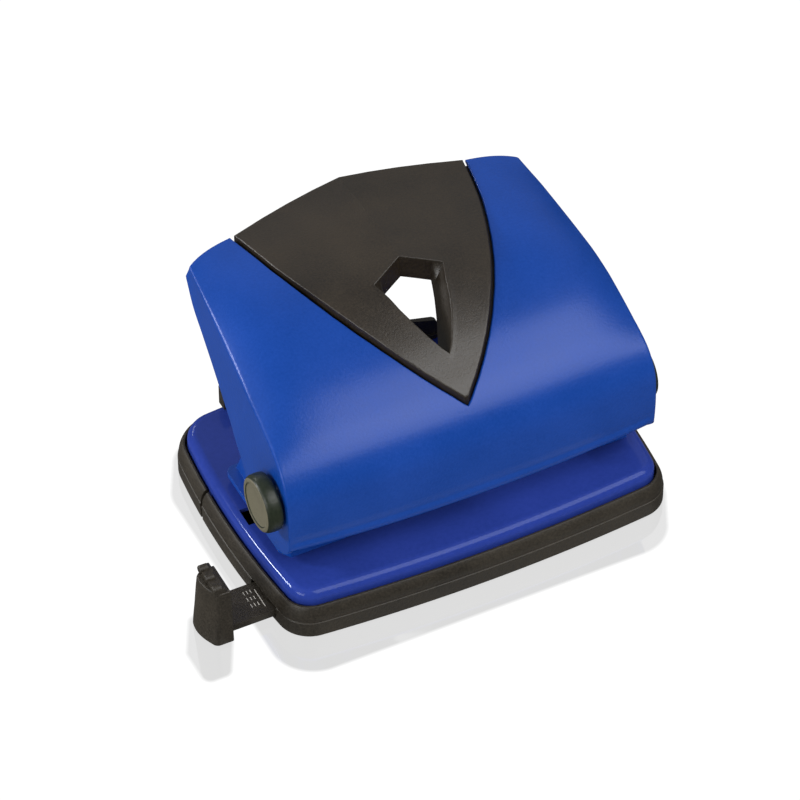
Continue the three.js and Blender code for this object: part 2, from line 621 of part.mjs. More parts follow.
// Top face of the insert: proud of the face at the point, flush at the rear, with a soft centre ridge.
function insertHeight(x, y) {
  const edge = roofHeight(Math.min(y, 41)) - Math.max(0, y - 41) * 0.04;
  const proud = THREE.MathUtils.lerp(1.2, 0.3, THREE.MathUtils.smoothstep(y, -10, 25));
  const ridge = RIDGE_HEIGHT * THREE.MathUtils.smoothstep(y, -20, 14) * (1 - Math.min(Math.abs(x) / 33, 1));
  return edge + proud + ridge;
}

function insertSlab(top, bottom) {
  const grid = (lift) => {
    const rows = [];
    for (let y = -30; y <= 47; y += 3.2) {
      const row = [];
      for (let x = -36; x <= 36; x += 6) row.push([x, y, insertHeight(x, y) + lift]);
      rows.push(row);
    }
    return rows;
  };
  return sheetSolid(grid(top), grid(bottom));
}

// Ledge under the sheet, along both sides of the V: it hides the gap beside the insert.
const LEDGE_Y = [-25, 39.3];
function insertLedge() {
  const slope = (y) => (roofHeight(y + 0.5) - roofHeight(y - 0.5));
  const grid = (lift) => {
    const rows = [];
    for (let y = LEDGE_Y[0] - 2; y <= LEDGE_Y[1] + 2; y += 2) {
      const top = roofHeight(y) - (SHEET + 2 * GAP) * Math.hypot(1, slope(y)) - lift;
      rows.push([[-36, y, top], [0, y, top], [36, y, top]]);
    }
    return rows;
  };
  const band = cut(prismZ(veeShape(-1.2), 40, 80), prismZ(veeShape(2.6), 40, 80));
  return sheetSolid(grid(0), grid(1.2)).intersect(band).intersect(block(-40, 40, ...LEDGE_Y, 40, 80));
}

function handleInsert() {
  const rear = [[32.9, 39.8], [24, 42.1], [16, 43.8], [8, 45.1], [0, 46]];
  const rearEdge = polygon([[-50, -60], [50, -60], [50, 37], ...rear,
    ...rear.slice(0, -1).reverse().map(([x, y]) => [-x, y]), [-50, 37]]);
  const plan = prismZ(veeShape(INSERT_IN), 40, 80).intersect(prismZ(rearEdge, 40, 80));
  const plate = insertSlab(0, -PLATE_DEPTH).intersect(plan);
  const grown = polygon(HOLE.map(([x, y]) => [x * 1.2, (y + 1) * 1.16 - 1]));
  const collar = insertSlab(-0.5, -COLLAR_DEPTH).intersect(prismZ(grown, 40, 80));
  const ring = (outline, lift) => outline.map(([x, y], n) => [x, y, insertHeight(...HOLE[n]) + lift]);
  const funnel = ringSolid([ring(HOLE_FOOT, -COLLAR_DEPTH - 4), ring(HOLE_FOOT, -COLLAR_DEPTH),
    ring(HOLE, -0.6), ring(HOLE, 4)], false);
  return cut(union(plate, collar, insertLedge()), funnel);
}

// Steel press plate under the handle: a web across the front and two arms that bear on the pins' heads.
function pressPlate() {
  const low = HEAD_Z + GAP;
  const thick = 1.6;
  const front = AXLE_Y + 4;
  const [webTop, armTop] = [50, 58.6];
  const arms = [-1, 1].map((side) => {
    const [x0, x1] = [34, 46].map((x) => side * x).sort((a, b) => a - b);
    return union(block(x0, x1, front, PIN_Y + 5, low, low + thick),
      block(x0, x1, PIN_Y + 5 - thick, PIN_Y + 5, low, armTop));
  });
  return union(block(-46, 46, front, front + thick, low, webTop), ...arms);
}

// ---------------------------------------------------------------- paper guide
function paperGuide() {
  const bar = block(STOP_FACE - 0.5, STOP_FACE + BAR_LENGTH, BAR_FRONT, BAR_BACK, BAR_BOTTOM, BAR_TOP);
  // Plan of the stop at a height: its outer face bulges, and all its sides draw in towards the top.
  const finAt = (z, draft) => [[STOP_FACE, -31.2 + draft * 0.5], [STOP_FACE, -18.4 - draft],
    [-72.3 + draft * 0.3, -18.4 - draft], [-74.7 + draft * 0.7, -20 - draft * 0.8], [-75.4 + draft, -23.5],
    [-74.8 + draft, -27], [-73.2 + draft * 0.9, -30.6 + draft * 0.5],
    [-72.2 + draft * 0.8, -31.2 + draft * 0.5]].map(([x, y]) => [x, y, z]);
  const heights = [[0.4, 0], [3, 0.2], [8, 0.7], [14, 1.2], [FIN_BODY_TOP, 1.6]];
  const body = ringSolid(heights.map(([z, draft]) => finAt(z, draft)), false);
  const crest = block(-72.3, STOP_FACE - 1.2, -30, -19.6, FIN_TOP - 3, FIN_TOP - 0.9);
  const ribs = [-20.9, -24.6, -28.9].map((y) => rodX(-72.6, STOP_FACE - 2, y, FIN_TOP - 1.1, 1.1, 12));
  return union(bar, body, crest, ...ribs);
}

// Leaf that presses on the bar, so that the guide stays where it is set.
function guideLeaf() {
  const z = BAR_TOP + GAP;
  const rest = BAR_TOP + 1 + GAP;
  const thick = 0.5;
  return prismX(polygon([[-30.3, rest], [-25.2, rest], [-23.6, z], [-22.6, z], [-21, rest], [-16, rest],
    [-16, rest + thick], [-20.8, rest + thick], [-22.4, z + thick], [-23.8, z + thick], [-25.4, rest + thick],
    [-30.3, rest + thick]]), -50, -44);
}

// ---------------------------------------------------------------- assembly
const punch = new THREE.Group();

function add(name, solid, material, parent = punch) {
  const mesh = new THREE.Mesh(toGeometry(solid), material());
  mesh.name = name;
  parent.add(mesh);
}

add("base_frame", baseFrame(), blackPlastic);
add("chip_tray_door", chipTrayDoor(), blackPlastic);
add("tray_hinge_rod", rodX(-44, 44, HINGE_Y, HINGE_Z, HINGE_R, 16), steel);
add("tray_latch", trayLatch(), blackPlastic);
add("base_plate", basePlate(), glossBlue);
add("axle", rodX(AXLE_LEFT, AXLE_RIGHT, AXLE_Y, AXLE_Z, AXLE_R), steel);
add("handle_shell", handleShell(), bluePaint);
add("handle_insert", handleInsert(), blackPlastic);
add("press_plate", pressPlate(), steel);
add("paper_guide", paperGuide(), blackPlastic);
add("guide_leaf", guideLeaf(), springSteel);

for (const [word, side] of [["left", -1], ["right", 1]]) {
  const x = side * PIN_X;
  add(`die_plate_${word}`, diePlate(side), steel);
  add(`punch_bracket_${word}`, punchBracket(side), bluePaint);
  RIVET_Y.forEach((y, n) => add(`rivet_${word}_${n + 1}`, rivet(side * RIVET_X, y), steel));
  add(`punch_pin_${word}`, punchPin(x), steel);
  add(`pin_collar_${word}`, pinCollar(x), steel);
  add(`return_spring_${word}`, returnSpring(x), springSteel);
  add(`axle_cap_${word}`, axleCap(side), greyPlastic);
}

export default punch;
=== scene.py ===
"""Two-hole office punch: detailed meshes, materials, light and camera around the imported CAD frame.

Lengths are written in millimetres and turned into metres where a mesh is made.
+X is the punch's right, +Y its rear, +Z up; the origin is the middle of its footprint on the table.
"""

import math

import bmesh
import bpy
import numpy as np
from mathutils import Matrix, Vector


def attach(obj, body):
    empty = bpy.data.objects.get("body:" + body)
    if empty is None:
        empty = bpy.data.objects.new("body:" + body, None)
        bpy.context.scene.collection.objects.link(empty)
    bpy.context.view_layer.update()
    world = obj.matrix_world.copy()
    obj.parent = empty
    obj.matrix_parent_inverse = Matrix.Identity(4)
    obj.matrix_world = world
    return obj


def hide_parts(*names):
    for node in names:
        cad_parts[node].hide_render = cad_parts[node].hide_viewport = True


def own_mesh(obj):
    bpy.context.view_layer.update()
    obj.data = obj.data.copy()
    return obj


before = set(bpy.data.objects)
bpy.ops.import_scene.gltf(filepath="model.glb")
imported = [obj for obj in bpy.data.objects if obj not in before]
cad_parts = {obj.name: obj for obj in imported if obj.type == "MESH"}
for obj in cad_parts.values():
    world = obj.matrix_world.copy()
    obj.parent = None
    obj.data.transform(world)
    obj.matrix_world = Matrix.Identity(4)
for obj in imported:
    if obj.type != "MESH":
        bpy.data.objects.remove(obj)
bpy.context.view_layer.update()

MM = 0.001
TAU = 2 * math.pi

# ---------------------------------------------------------------- dimensions, as in the CAD source
HALF_WIDTH, HALF_DEPTH = 57.2, 41.2
SIDE_RADIUS, END_RADIUS = 250, 510
FRONT_CORNER, REAR_CORNER = 9, 12
SKIRT_TOP, LEDGE_TOP, LIP_IN, SKIRT_WALL = 9.3, 6.3, 2.1, 4.2
FLOOR = 1.2
SEAM_Y, SEAM_RADIUS, SEAM_GAP = 12.5, 18, 0.9
PLATE_IN, PLATE_TOP, PLATE_BOTTOM, PLATE_SHOULDER = 2.7, 13, 6.6, 2.6
SHEET = 1.2
GAP = 0.3
PIN_X, PIN_Y, PIN_R = 40, -3, 2.75
RIVET_X, RIVET_Y, RIVET_R = 37.5, (15, 22), 1.5
COLLAR_Z, HEAD_Z, STROKE_TIP_Z = 42, 46.2, 15.5
COLLAR_FOOT, COLLAR_HEAD = COLLAR_Z + 0.75, COLLAR_Z + 1.85
BRACKET_SHEET, GUIDE_PLATE_Z = 1.6, 24.5
NOTCH_X, NOTCH_Y = (49.4, 52.2), (-7, -1)
DIE_HOLE_R = 4
AXLE_Y, AXLE_Z, AXLE_R = -22.9, 36.8, 3
AXLE_LEFT, AXLE_RIGHT = -55, 52.7
HIGH_CAP_FACE, LOW_CAP_FACE = 57.4, 53.5
BAR_BACK, BAR_FRONT, BAR_BOTTOM, BAR_TOP = -17.4, -28.9, 1.5, 3.7
STOP_FACE, BAR_LENGTH, FIN_TOP, FIN_BODY_TOP = -68, 106, 20, 17.8
HINGE_Y, HINGE_Z, HINGE_R, BARREL_R = -12.6, 2, 0.8, 1.7
HINGE_END = 44

# Handle: [y, z] along the outer face's middle, its creases and the flanges' free edges.
ROOF_LINE = [[-33.4, 24.2], [-33.6, 30], [-33.3, 36], [-32.3, 42], [-29.7, 47.5], [-25.5, 52.1],
             [-20.4, 55.8], [-13.2, 60], [-3.3, 63.6], [6, 65.8], [16.6, 67.1], [27, 67.5], [34, 67.3],
             [41.2, 66.8]]
CREASE_LINE = [[-31.2, 25.2], [-31.5, 30], [-31.5, 35.6], [-30.6, 42.2], [-27.2, 47.7], [-22.9, 50.8],
               [-18, 53.2], [-10, 56.4], [-1, 59.4], [6.5, 61], [16.6, 62.8], [25.5, 64.2], [31, 64.8],
               [36, 65.4]]
FLANGE_EDGE = [[-30.6, 24.1], [-28.2, 21.8], [-23.5, 19.8], [-18, 19.2], [-12.3, 20.2], [-7.6, 23.6],
               [-4.2, 28.6], [-1.2, 34.2], [3.2, 39], [9.8, 43.6], [17.6, 47.8], [25, 51.6], [31.8, 55.8],
               [36.9, 61.8]]
HALF_WIDTHS = [[-34, 52.4], [-29, 52.2], [-20, 51.6], [-7, 51.3], [2, 50.7], [12, 49.8], [25, 48.6],
               [36, 47.4]]
VEE = [[34.6, 46], [33.8, 40], [32, 31.5], [30.2, 23.5], [28, 16.4], [25.6, 9.6], [22.9, 3], [19.7, -3.4],
       [15.5, -10.4], [12.4, -14.8], [9, -18.9], [5.3, -22.8], [1.4, -26.4]]
TIP_Y = -27.4


def mirrored(half):
    """A loop from its right half, which starts and ends on the centre line."""
    return half + [[-x, y] for x, y in half[-2:0:-1]]


# The insert's opening: its rim in plan, and its outline at the foot of the slanting walls.
HOLE = mirrored([[0, -16.6], [1.5, -14.7], [3.25, -11.7], [5.2, -7.5], [6.9, -2.9], [7.95, 1.1], [9.6, 5.9],
                 [0, 11.2]])
HOLE_FOOT = mirrored([[0, -10.3], [1, -8.6], [1.7, -7], [2.3, -5.6], [2.9, -4.3], [5, 1.4], [6.8, 6.85],
                      [0, 10.5]])
COLLAR_DEPTH, PLATE_DEPTH, INSERT_IN = 6.2, 3.7, 0.9
INSERT_REAR = mirrored([[0, -60], [50, -60], [50, 37], [32.9, 39.8], [24, 42.1], [16, 43.8], [8, 45.1],
                        [0, 46]])


# ---------------------------------------------------------------- mesh building
class Shape:
    """Points in millimetres and the faces over them."""

    def __init__(self):
        self.points = []
        self.faces = []

    def grid(self, rows, wrap_rows=False, wrap_columns=False):
        """Quads over rows[i][j]. Seen from outside, i runs left to right where j runs downwards."""
        rows = np.asarray(rows, float)
        count, columns = rows.shape[:2]
        start = len(self.points)
        self.points.extend(rows.reshape(-1, 3).tolist())
        for i in range(count if wrap_rows else count - 1):
            for j in range(columns if wrap_columns else columns - 1):
                a, b = start + i * columns, start + (i + 1) % count * columns
                k = (j + 1) % columns
                self.faces.append((a + j, a + k, b + k, b + j))
        return self

    def cap(self, ring, flip=False):
        """One flat face over a ring of points."""
        start = len(self.points)
        self.points.extend(np.asarray(ring, float).tolist())
        face = list(range(start, start + len(ring)))
        self.faces.append(tuple(reversed(face)) if flip else tuple(face))
        return self

    def mesh(self, name, weld=0.002):
        """A Blender mesh in metres with doubled points welded and all faces turned outwards."""
        data = bpy.data.meshes.new(name)
        data.from_pydata([[c * MM for c in p] for p in self.points], [], self.faces)
        work = bmesh.new()
        work.from_mesh(data)
        bmesh.ops.remove_doubles(work, verts=work.verts, dist=weld * MM)
        bmesh.ops.dissolve_degenerate(work, edges=work.edges, dist=weld * MM * 0.5)
        bmesh.ops.recalc_face_normals(work, faces=work.faces)
        work.to_mesh(data)
        work.free()
        return data


def block(x0, x1, y0, y1, z0, z1, bevel=0.0, segments=2):
    """A box with its edges rounded by bevel."""
    shape = Shape()
    low = [[x0, y0, z0], [x1, y0, z0], [x1, y1, z0], [x0, y1, z0]]
    high = [[x, y, z1] for x, y, _ in low]
    shape.grid([low, high], wrap_columns=True).cap(low, flip=True).cap(high)
    data = shape.mesh("block")
    if bevel:
        work = bmesh.new()
        work.from_mesh(data)
        bmesh.ops.bevel(work, geom=work.edges[:], offset=bevel * MM, segments=segments, profile=0.5,
                        affect="EDGES", clamp_overlap=True)
        work.to_mesh(data)
        work.free()
    return data


def turned(profile, centre, axis="Z", sides=64, flip=False):
    """A lathe: profile points are (radius, distance along the axis), from one end to the other."""
    rows = []
    for radius, along in profile:
        along = -along if flip else along
        ring = []
        for k in range(sides):
            a, b = radius * math.cos(TAU * k / sides), radius * math.sin(TAU * k / sides)
            ring.append([along, a, b] if axis == "X" else [a, b, along])
        rows.append(ring)
    rows = np.asarray(rows) + np.asarray(centre, float)
    shape = Shape().grid(rows, wrap_columns=True)
    if profile[0] != profile[-1]:
        for end in (0, -1):
            if profile[end][0] > 0:
                shape.cap(rows[end], flip=end == 0)
    return shape.mesh("turned")


def rounded(points, radius, steps=4, closed=True):
    """The polygon with its corners rounded off; radius is one number or one for each corner."""
    points = [np.asarray(p, float) for p in points]
    radii = radius if hasattr(radius, "__len__") else [radius] * len(points)
    result = []
    for k, p in enumerate(points):
        if not closed and k in (0, len(points) - 1):
            result.append(p)
            continue
        before, after = points[k - 1], points[(k + 1) % len(points)]
        reach = min(radii[k], 0.45 * np.linalg.norm(before - p), 0.45 * np.linalg.norm(after - p))
        if reach < 1e-6:
            result.append(p)
            continue
        start = p + (before - p) / np.linalg.norm(before - p) * reach
        end = p + (after - p) / np.linalg.norm(after - p) * reach
        for t in np.linspace(0, 1, steps + 1):
            result.append((1 - t) ** 2 * start + 2 * t * (1 - t) * p + t * t * end)
    return np.array(result)


def offset_loop(loop, distance):
    """A closed counter-clockwise loop in the plane, moved outwards by distance."""
    loop = np.asarray(loop, float)
    before, after = np.roll(loop, 1, axis=0), np.roll(loop, -1, axis=0)
    d0, d1 = loop - before, after - loop
    n0 = np.stack([d0[:, 1], -d0[:, 0]], 1) / np.linalg.norm(d0, axis=1)[:, None]
    n1 = np.stack([d1[:, 1], -d1[:, 0]], 1) / np.linalg.norm(d1, axis=1)[:, None]
    scale = 1 / np.maximum(1 + (n0 * n1).sum(1), 0.35)
    return loop + (n0 + n1) * scale[:, None] * distance


def resampled(points, count):
    """count points at equal distances along an open line."""
    points = np.asarray(points, float)
    reach = np.concatenate([[0], np.cumsum(np.linalg.norm(np.diff(points, axis=0), axis=1))])
    at = np.linspace(0, reach[-1], count)
    return np.stack([np.interp(at, reach, points[:, k]) for k in range(points.shape[1])], 1)


def placed(name, data):
    """A new object in the scene."""
    item = bpy.data.objects.new(name, data)
    bpy.context.scene.collection.objects.link(item)
    return item


def joined(*meshes):
    """Several meshes as one."""
    work = bmesh.new()
    for data in meshes:
        work.from_mesh(data)
    result = bpy.data.meshes.new("joined")
    work.to_mesh(result)
    work.free()
    return result


def combined(base, *others, operation="UNION"):
    """A solid Boolean of meshes, evaluated at once."""
    target = placed("boolean_base", base)
    tools = []
    for data in others:
        tool = placed("boolean_tool", data)
        modifier = target.modifiers.new("boolean", "BOOLEAN")
        modifier.operation = operation
        modifier.solver = "MANIFOLD"
        modifier.object = tool
        tools.append(tool)
    bpy.context.view_layer.update()
    evaluated = target.evaluated_get(bpy.context.evaluated_depsgraph_get())
    result = bpy.data.meshes.new_from_object(evaluated)
    for item in [target, *tools]:
        bpy.data.objects.remove(item)
    return result


# ---------------------------------------------------------------- materials
RAMP_LOW, RAMP_HIGH = 0.3, 0.7  # the part of the noise that the colours and the roughness spread over
MOTTLE = 60.0  # scale of the slow colour change, per metre
MOTTLE_SHARE = 0.4


def node_tree(owner):
    """Empties the owner's node tree; gives functions to add a node with input values and to link."""
    owner.use_nodes = True
    tree = owner.node_tree
    tree.nodes.clear()

    def add(kind, **values):
        node = tree.nodes.new("ShaderNode" + kind)
        for socket, value in values.items():
            node.inputs[socket.replace("_", " ")].default_value = value
        return node

    return add, tree.links.new


def material(name, dark, light, roughness, grain, bump, *, metallic=0.0, specular=0.5,
             streak=(1, 1, 1), tint=(1, 1, 1)):
    """Two close colours mixed by a fine grain and slow mottling, which also drive roughness and bump.

    dark and light are linear colours, roughness its lowest and highest value, grain the size of the
    grain in millimetres and bump its height in millimetres. streak stretches the grain along one axis.
    """
    result = bpy.data.materials.new(name)
    add, link = node_tree(result)
    out = add("OutputMaterial")
    shader = add("BsdfPrincipled", Metallic=metallic, Specular_IOR_Level=specular, Specular_Tint=(*tint, 1))
    link(shader.outputs["BSDF"], out.inputs["Surface"])
    place, mapping = add("TexCoord"), add("Mapping", Scale=streak)
    link(place.outputs["Object"], mapping.inputs["Vector"])

    fine = add("TexNoise", Scale=1 / (grain * MM), Detail=3, Roughness=0.6)
    link(mapping.outputs["Vector"], fine.inputs["Vector"])
    slow = add("TexNoise", Scale=MOTTLE, Detail=2)
    link(place.outputs["Object"], slow.inputs["Vector"])
    both = add("Mix")
    both.data_type = "FLOAT"
    both.inputs[0].default_value = MOTTLE_SHARE
    link(fine.outputs["Fac"], both.inputs[2])
    link(slow.outputs["Fac"], both.inputs[3])

    ramp = add("ValToRGB")
    for stop, position, colour in zip(ramp.color_ramp.elements, (RAMP_LOW, RAMP_HIGH), (dark, light)):
        stop.position, stop.color = position, (*colour, 1)
    link(both.outputs[0], ramp.inputs["Fac"])
    link(ramp.outputs["Color"], shader.inputs["Base Color"])
    spread = add("MapRange", From_Min=RAMP_LOW, From_Max=RAMP_HIGH, To_Min=roughness[0], To_Max=roughness[1])
    link(both.outputs[0], spread.inputs["Value"])
    link(spread.outputs["Result"], shader.inputs["Roughness"])

    relief = add("Bump", Strength=1, Distance=bump * MM)
    link(fine.outputs["Fac"], relief.inputs["Height"])
    link(relief.outputs["Normal"], shader.inputs["Normal"])
    return result


SATIN_BLUE = material("satin_blue_paint", (0.002, 0.041, 0.250), (0.006, 0.055, 0.325), (0.28, 0.38),
                      0.70, 0.045, specular=0.48, tint=(0.6, 0.65, 1))
GLOSS_BLUE = material("gloss_blue_paint", (0.018, 0.040, 0.245), (0.024, 0.049, 0.300), (0.10, 0.16),
                      1.2, 0.004, specular=0.2, tint=(0.7, 0.8, 1))
BLACK = material("black_plastic", (0.010, 0.008, 0.005), (0.042, 0.034, 0.023), (0.42, 0.60),
                 0.60, 0.080, specular=0.4)
INSERT = material("insert_plastic", (0.005, 0.003, 0.001), (0.030, 0.021, 0.011), (0.34, 0.48),
                  0.50, 0.060, specular=0.6)
CAP = material("cap_plastic", (0.008, 0.013, 0.007), (0.022, 0.028, 0.015), (0.34, 0.46),
               0.70, 0.060, specular=0.35)
# The caps' flat ends: a much paler, rougher copy of the cap plastic; the paleness is painted light, where the
# ends face the light from the left.
CAP_END_LIT = material("cap_end_painted_light", (0.095, 0.087, 0.055), (0.150, 0.138, 0.090), (0.50, 0.62),
                    0.60, 0.080, specular=0.5)
# Pale grey for the guide's raised strokes and index lines: a painted highlight, where the raised marks catch
# the light.
MARK_HIGHLIGHT = material("mark_painted_highlight", (0.32, 0.30, 0.27), (0.50, 0.48, 0.43), (0.45, 0.60), 0.20, 0.010)
STEEL = material("nickel_steel", (0.36, 0.36, 0.37), (0.50, 0.50, 0.51), (0.18, 0.32),
                 0.30, 0.006, metallic=1.0, streak=(1, 1, 0.08))
SPRING = material("spring_steel", (0.30, 0.30, 0.31), (0.42, 0.42, 0.43), (0.22, 0.35),
                  0.25, 0.006, metallic=1.0)


# ---------------------------------------------------------------- pieces
def piece(name, data, finish, slot, body, *nodes, smooth=35):
    """An object for a mesh: shaded smooth up to the angle, riding on a body, standing for CAD nodes."""
    data.name = name
    data.materials.clear()
    data.materials.append(finish)
    data.shade_smooth()
    data.set_sharp_from_angle(angle=math.radians(smooth))
    item = placed(name, data)
    weighted = item.modifiers.new("weighted_normals", "WEIGHTED_NORMAL")
    weighted.keep_sharp = True
    weighted.weight = 80
    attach(item, body)
    if nodes:
        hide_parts(*nodes)
    return item


def keep(node, finish, bevel=0.2, segments=2):
    """A CAD node shown as it is, with welded corners, rounded edges and a material."""
    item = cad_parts[node]
    item.data.materials.clear()
    item.data.materials.append(finish)
    weld = item.modifiers.new("weld", "WELD")
    weld.merge_threshold = 0.001 * MM
    flat = item.modifiers.new("flat_faces", "DECIMATE")
    flat.decimate_type = "DISSOLVE"
    flat.angle_limit = math.radians(1)
    edge = item.modifiers.new("rounded_edges", "BEVEL")
    edge.width = bevel * MM
    edge.segments = segments
    edge.limit_method = "ANGLE"
    edge.angle_limit = math.radians(38)
    edge.harden_normals = True
    weighted = item.modifiers.new("weighted_normals", "WEIGHTED_NORMAL")
    weighted.keep_sharp = True
    return item


# ---------------------------------------------------------------- base footprint
def quarter_outline(inset, corner_radius, steps):
    """From the middle of the end (0, depth) round the corner to (width, 0)."""
    corner = corner_radius - inset
    end_y, end_r = HALF_DEPTH - END_RADIUS, END_RADIUS - inset
    side_x, side_r = HALF_WIDTH - SIDE_RADIUS, SIDE_RADIUS - inset
    r1, r2 = end_r - corner, side_r - corner
    span = math.hypot(side_x, end_y)
    along = (r1 * r1 - r2 * r2 + span * span) / (2 * span)
    across = math.sqrt(r1 * r1 - along * along)
    ux, uy = side_x / span, -end_y / span
    cx, cy = ux * along + uy * across, end_y + uy * along - ux * across
    end_angle = math.atan2(cy - end_y, cx)
    side_angle = math.atan2(cy, cx - side_x)
    points = []
    for x, y, r, start, stop in ((0, end_y, end_r, TAU / 4, end_angle),
                                 (cx, cy, corner, end_angle, side_angle),
                                 (side_x, 0, side_r, side_angle, 0)):
        for t in np.linspace(start, stop, steps, endpoint=False):
            points.append([x + r * math.cos(t), y + r * math.sin(t)])
    return np.array(points + [[side_x + side_r, 0]])


def outline(inset, steps=20):
    """The whole footprint, counter-clockwise from the middle of the rear."""
    rear = quarter_outline(inset, REAR_CORNER, steps)
    front = quarter_outline(inset, FRONT_CORNER, steps)
    left_rear = rear[:-1] * [-1, 1]
    left_front = front[::-1] * [-1, -1]
    right_front = front[1:-1] * [1, -1]
    right_rear = rear[::-1][:-1]
    return np.concatenate([left_rear, left_front, right_front, right_rear])


def ring_at(inset, z):
    """The footprint, moved in by inset, as a ring of points at one height."""
    loop = outline(inset)
    return np.column_stack([loop, np.full(len(loop), z)])


# ---------------------------------------------------------------- skirt and trays
def skirt_section():
    """Section of the skirt, [inset, z]: a lower band, a fine step, an upper band and a thin lip."""
    corners = [[0.15, 0], [0, 0.2], [0, 4.5], [0.28, 4.72], [0.3, 6.3], [0.62, 7.6], [1.1, 8.7],
               [1.5, SKIRT_TOP], [LIP_IN, SKIRT_TOP], [LIP_IN, LEDGE_TOP], [SKIRT_WALL, LEDGE_TOP],
               [SKIRT_WALL, 0]]
    radii = [0.08, 0.1, 0.12, 0.06, 0.8, 0.8, 0.5, 0.12, 0.12, 0.1, 0.2, 0.2]
    return rounded(corners, radii, 3)


def seam_y(z):
    """The seam between the fixed tray and the chip tray door bulges to the rear."""
    return SEAM_Y - SEAM_RADIUS + math.sqrt(SEAM_RADIUS ** 2 - (z - SKIRT_TOP / 2) ** 2)


def clipped_outline(inset, cut, front):
    """The part of the outline in front of y = cut, from left to right, or behind it, from right to left."""
    loop = outline(inset, 40)
    if not front:
        loop = np.roll(loop, -int(np.argmin(np.abs(loop[:, 0]) + (loop[:, 1] > 0) * 1e3)), axis=0)
    inside = loop[:, 1] < cut if front else loop[:, 1] > cut
    kept = np.flatnonzero(inside)
    first, last = kept[0], kept[-1]

    def crossing(a, b):
        t = (cut - loop[a][1]) / (loop[b][1] - loop[a][1])
        return loop[a] + (loop[b] - loop[a]) * t

    return np.concatenate([[crossing(first - 1, first)], loop[first:last + 1],
                           [crossing(last, (last + 1) % len(loop))]])


def skirt_part(front, columns):
    """One part of the skirt between the two side seams, with softened ends."""
    section = skirt_section()
    soft = 0.2
    sign = -1 if front else 1
    start = 0 if front else SEAM_GAP

    def columns_at(loop, shift, count):
        return [resampled(clipped_outline(inset, seam_y(z) + shift, front), count) for inset, z in loop]

    rows = columns_at(section, start + sign * soft, columns)
    body = np.array([np.column_stack([row, np.full(columns, z)]) for row, (_, z) in zip(rows, section)])
    ends = {0: [], -1: []}
    for angle in (TAU / 8, TAU / 4):
        loop = offset_loop(section[::-1], -soft * (1 - math.cos(angle)))[::-1]
        line = columns_at(loop, start + sign * soft * (1 - math.sin(angle)), 3)
        for end in ends:
            ends[end].append([[*row[end], z] for row, (_, z) in zip(line, loop)])
    ladder = np.concatenate([np.array(ends[0][::-1]).transpose(1, 0, 2), body,
                             np.array(ends[-1]).transpose(1, 0, 2)], axis=1)
    shape = Shape().grid(ladder, wrap_rows=True)
    shape.cap(ladder[:, 0], flip=True).cap(ladder[:, -1])
    return shape.mesh("skirt")


def floor_plate(inset, y0, y1):
    """The trays' floor between two depths."""
    loop = outline(inset, 12)
    keep_y = np.clip(loop[:, 1], y0, y1)
    ring = np.column_stack([loop[:, 0], keep_y])
    unique = [ring[0]] + [p for q, p in zip(ring, ring[1:]) if np.linalg.norm(p - q) > 0.02]
    low = np.column_stack([unique, np.zeros(len(unique))])
    high = low + [0, 0, FLOOR]
    return Shape().grid([low, high], wrap_columns=True).cap(low, flip=True).cap(high).mesh("floor")


def rod_x(x0, x1, y, z, radius):
    """A plain rod along X."""
    return turned([(radius, x0), (radius, x1)], (0, y, z), "X", 40)


BARREL_SPLIT = (10, 31)
FRAME_FLOOR_BACK = HINGE_Y - BARREL_R - GAP
DOOR_FLOOR_FRONT = HINGE_Y + BARREL_R + GAP


def make_base_frame():
    """The fixed tray: front skirt and floor, the guide's channel and its share of the hinge barrels."""
    parts = [floor_plate(SKIRT_WALL - 0.5, -60, FRAME_FLOOR_BACK),
             block(-46, 46, BAR_FRONT - 1.5, BAR_FRONT - GAP, 0.5, BAR_TOP + 1),
             block(-52, 46, BAR_BACK + GAP, BAR_BACK + 1.5, 0.5, BAR_TOP + 1)]
    a, b = BARREL_SPLIT
    for x0, x1 in ((-HINGE_END, -b - GAP), (-a + GAP, a - GAP), (b + GAP, HINGE_END)):
        parts.append(rod_x(x0, x1, HINGE_Y, HINGE_Z, BARREL_R))
        parts.append(block(x0, x1, FRAME_FLOOR_BACK - 0.5, HINGE_Y, 0.3, FLOOR))
    whole = combined(skirt_part(True, 260), *parts)
    slot = block(-80, -50, BAR_FRONT - GAP, BAR_BACK + GAP, BAR_BOTTOM - GAP, 4.7)
    bore = rod_x(-45, 45, HINGE_Y, HINGE_Z, HINGE_R + 0.3)
    piece("base_tray", combined(whole, slot, bore, operation="DIFFERENCE"), BLACK, "black_plastic", "base",
          "base_frame")


def make_tray_door():
    """The chip tray: rear skirt and floor, and two hinge barrels."""
    a, b = BARREL_SPLIT
    parts = [floor_plate(SKIRT_WALL - 0.5, SEAM_Y + 0.4, 60),
             floor_plate(SKIRT_WALL + 0.5, DOOR_FLOOR_FRONT, SEAM_Y + 1)]
    for x0, x1 in ((-b, -a), (a, b)):
        parts.append(rod_x(x0, x1, HINGE_Y, HINGE_Z, BARREL_R))
        parts.append(block(x0, x1, HINGE_Y, DOOR_FLOOR_FRONT + 0.5, 0.3, FLOOR))
    whole = combined(skirt_part(False, 200), *parts)
    bore = rod_x(-45, 45, HINGE_Y, HINGE_Z, HINGE_R + 0.3)
    piece("chip_tray", combined(whole, bore, operation="DIFFERENCE"), BLACK, "black_plastic", "tray_door",
          "chip_tray_door")


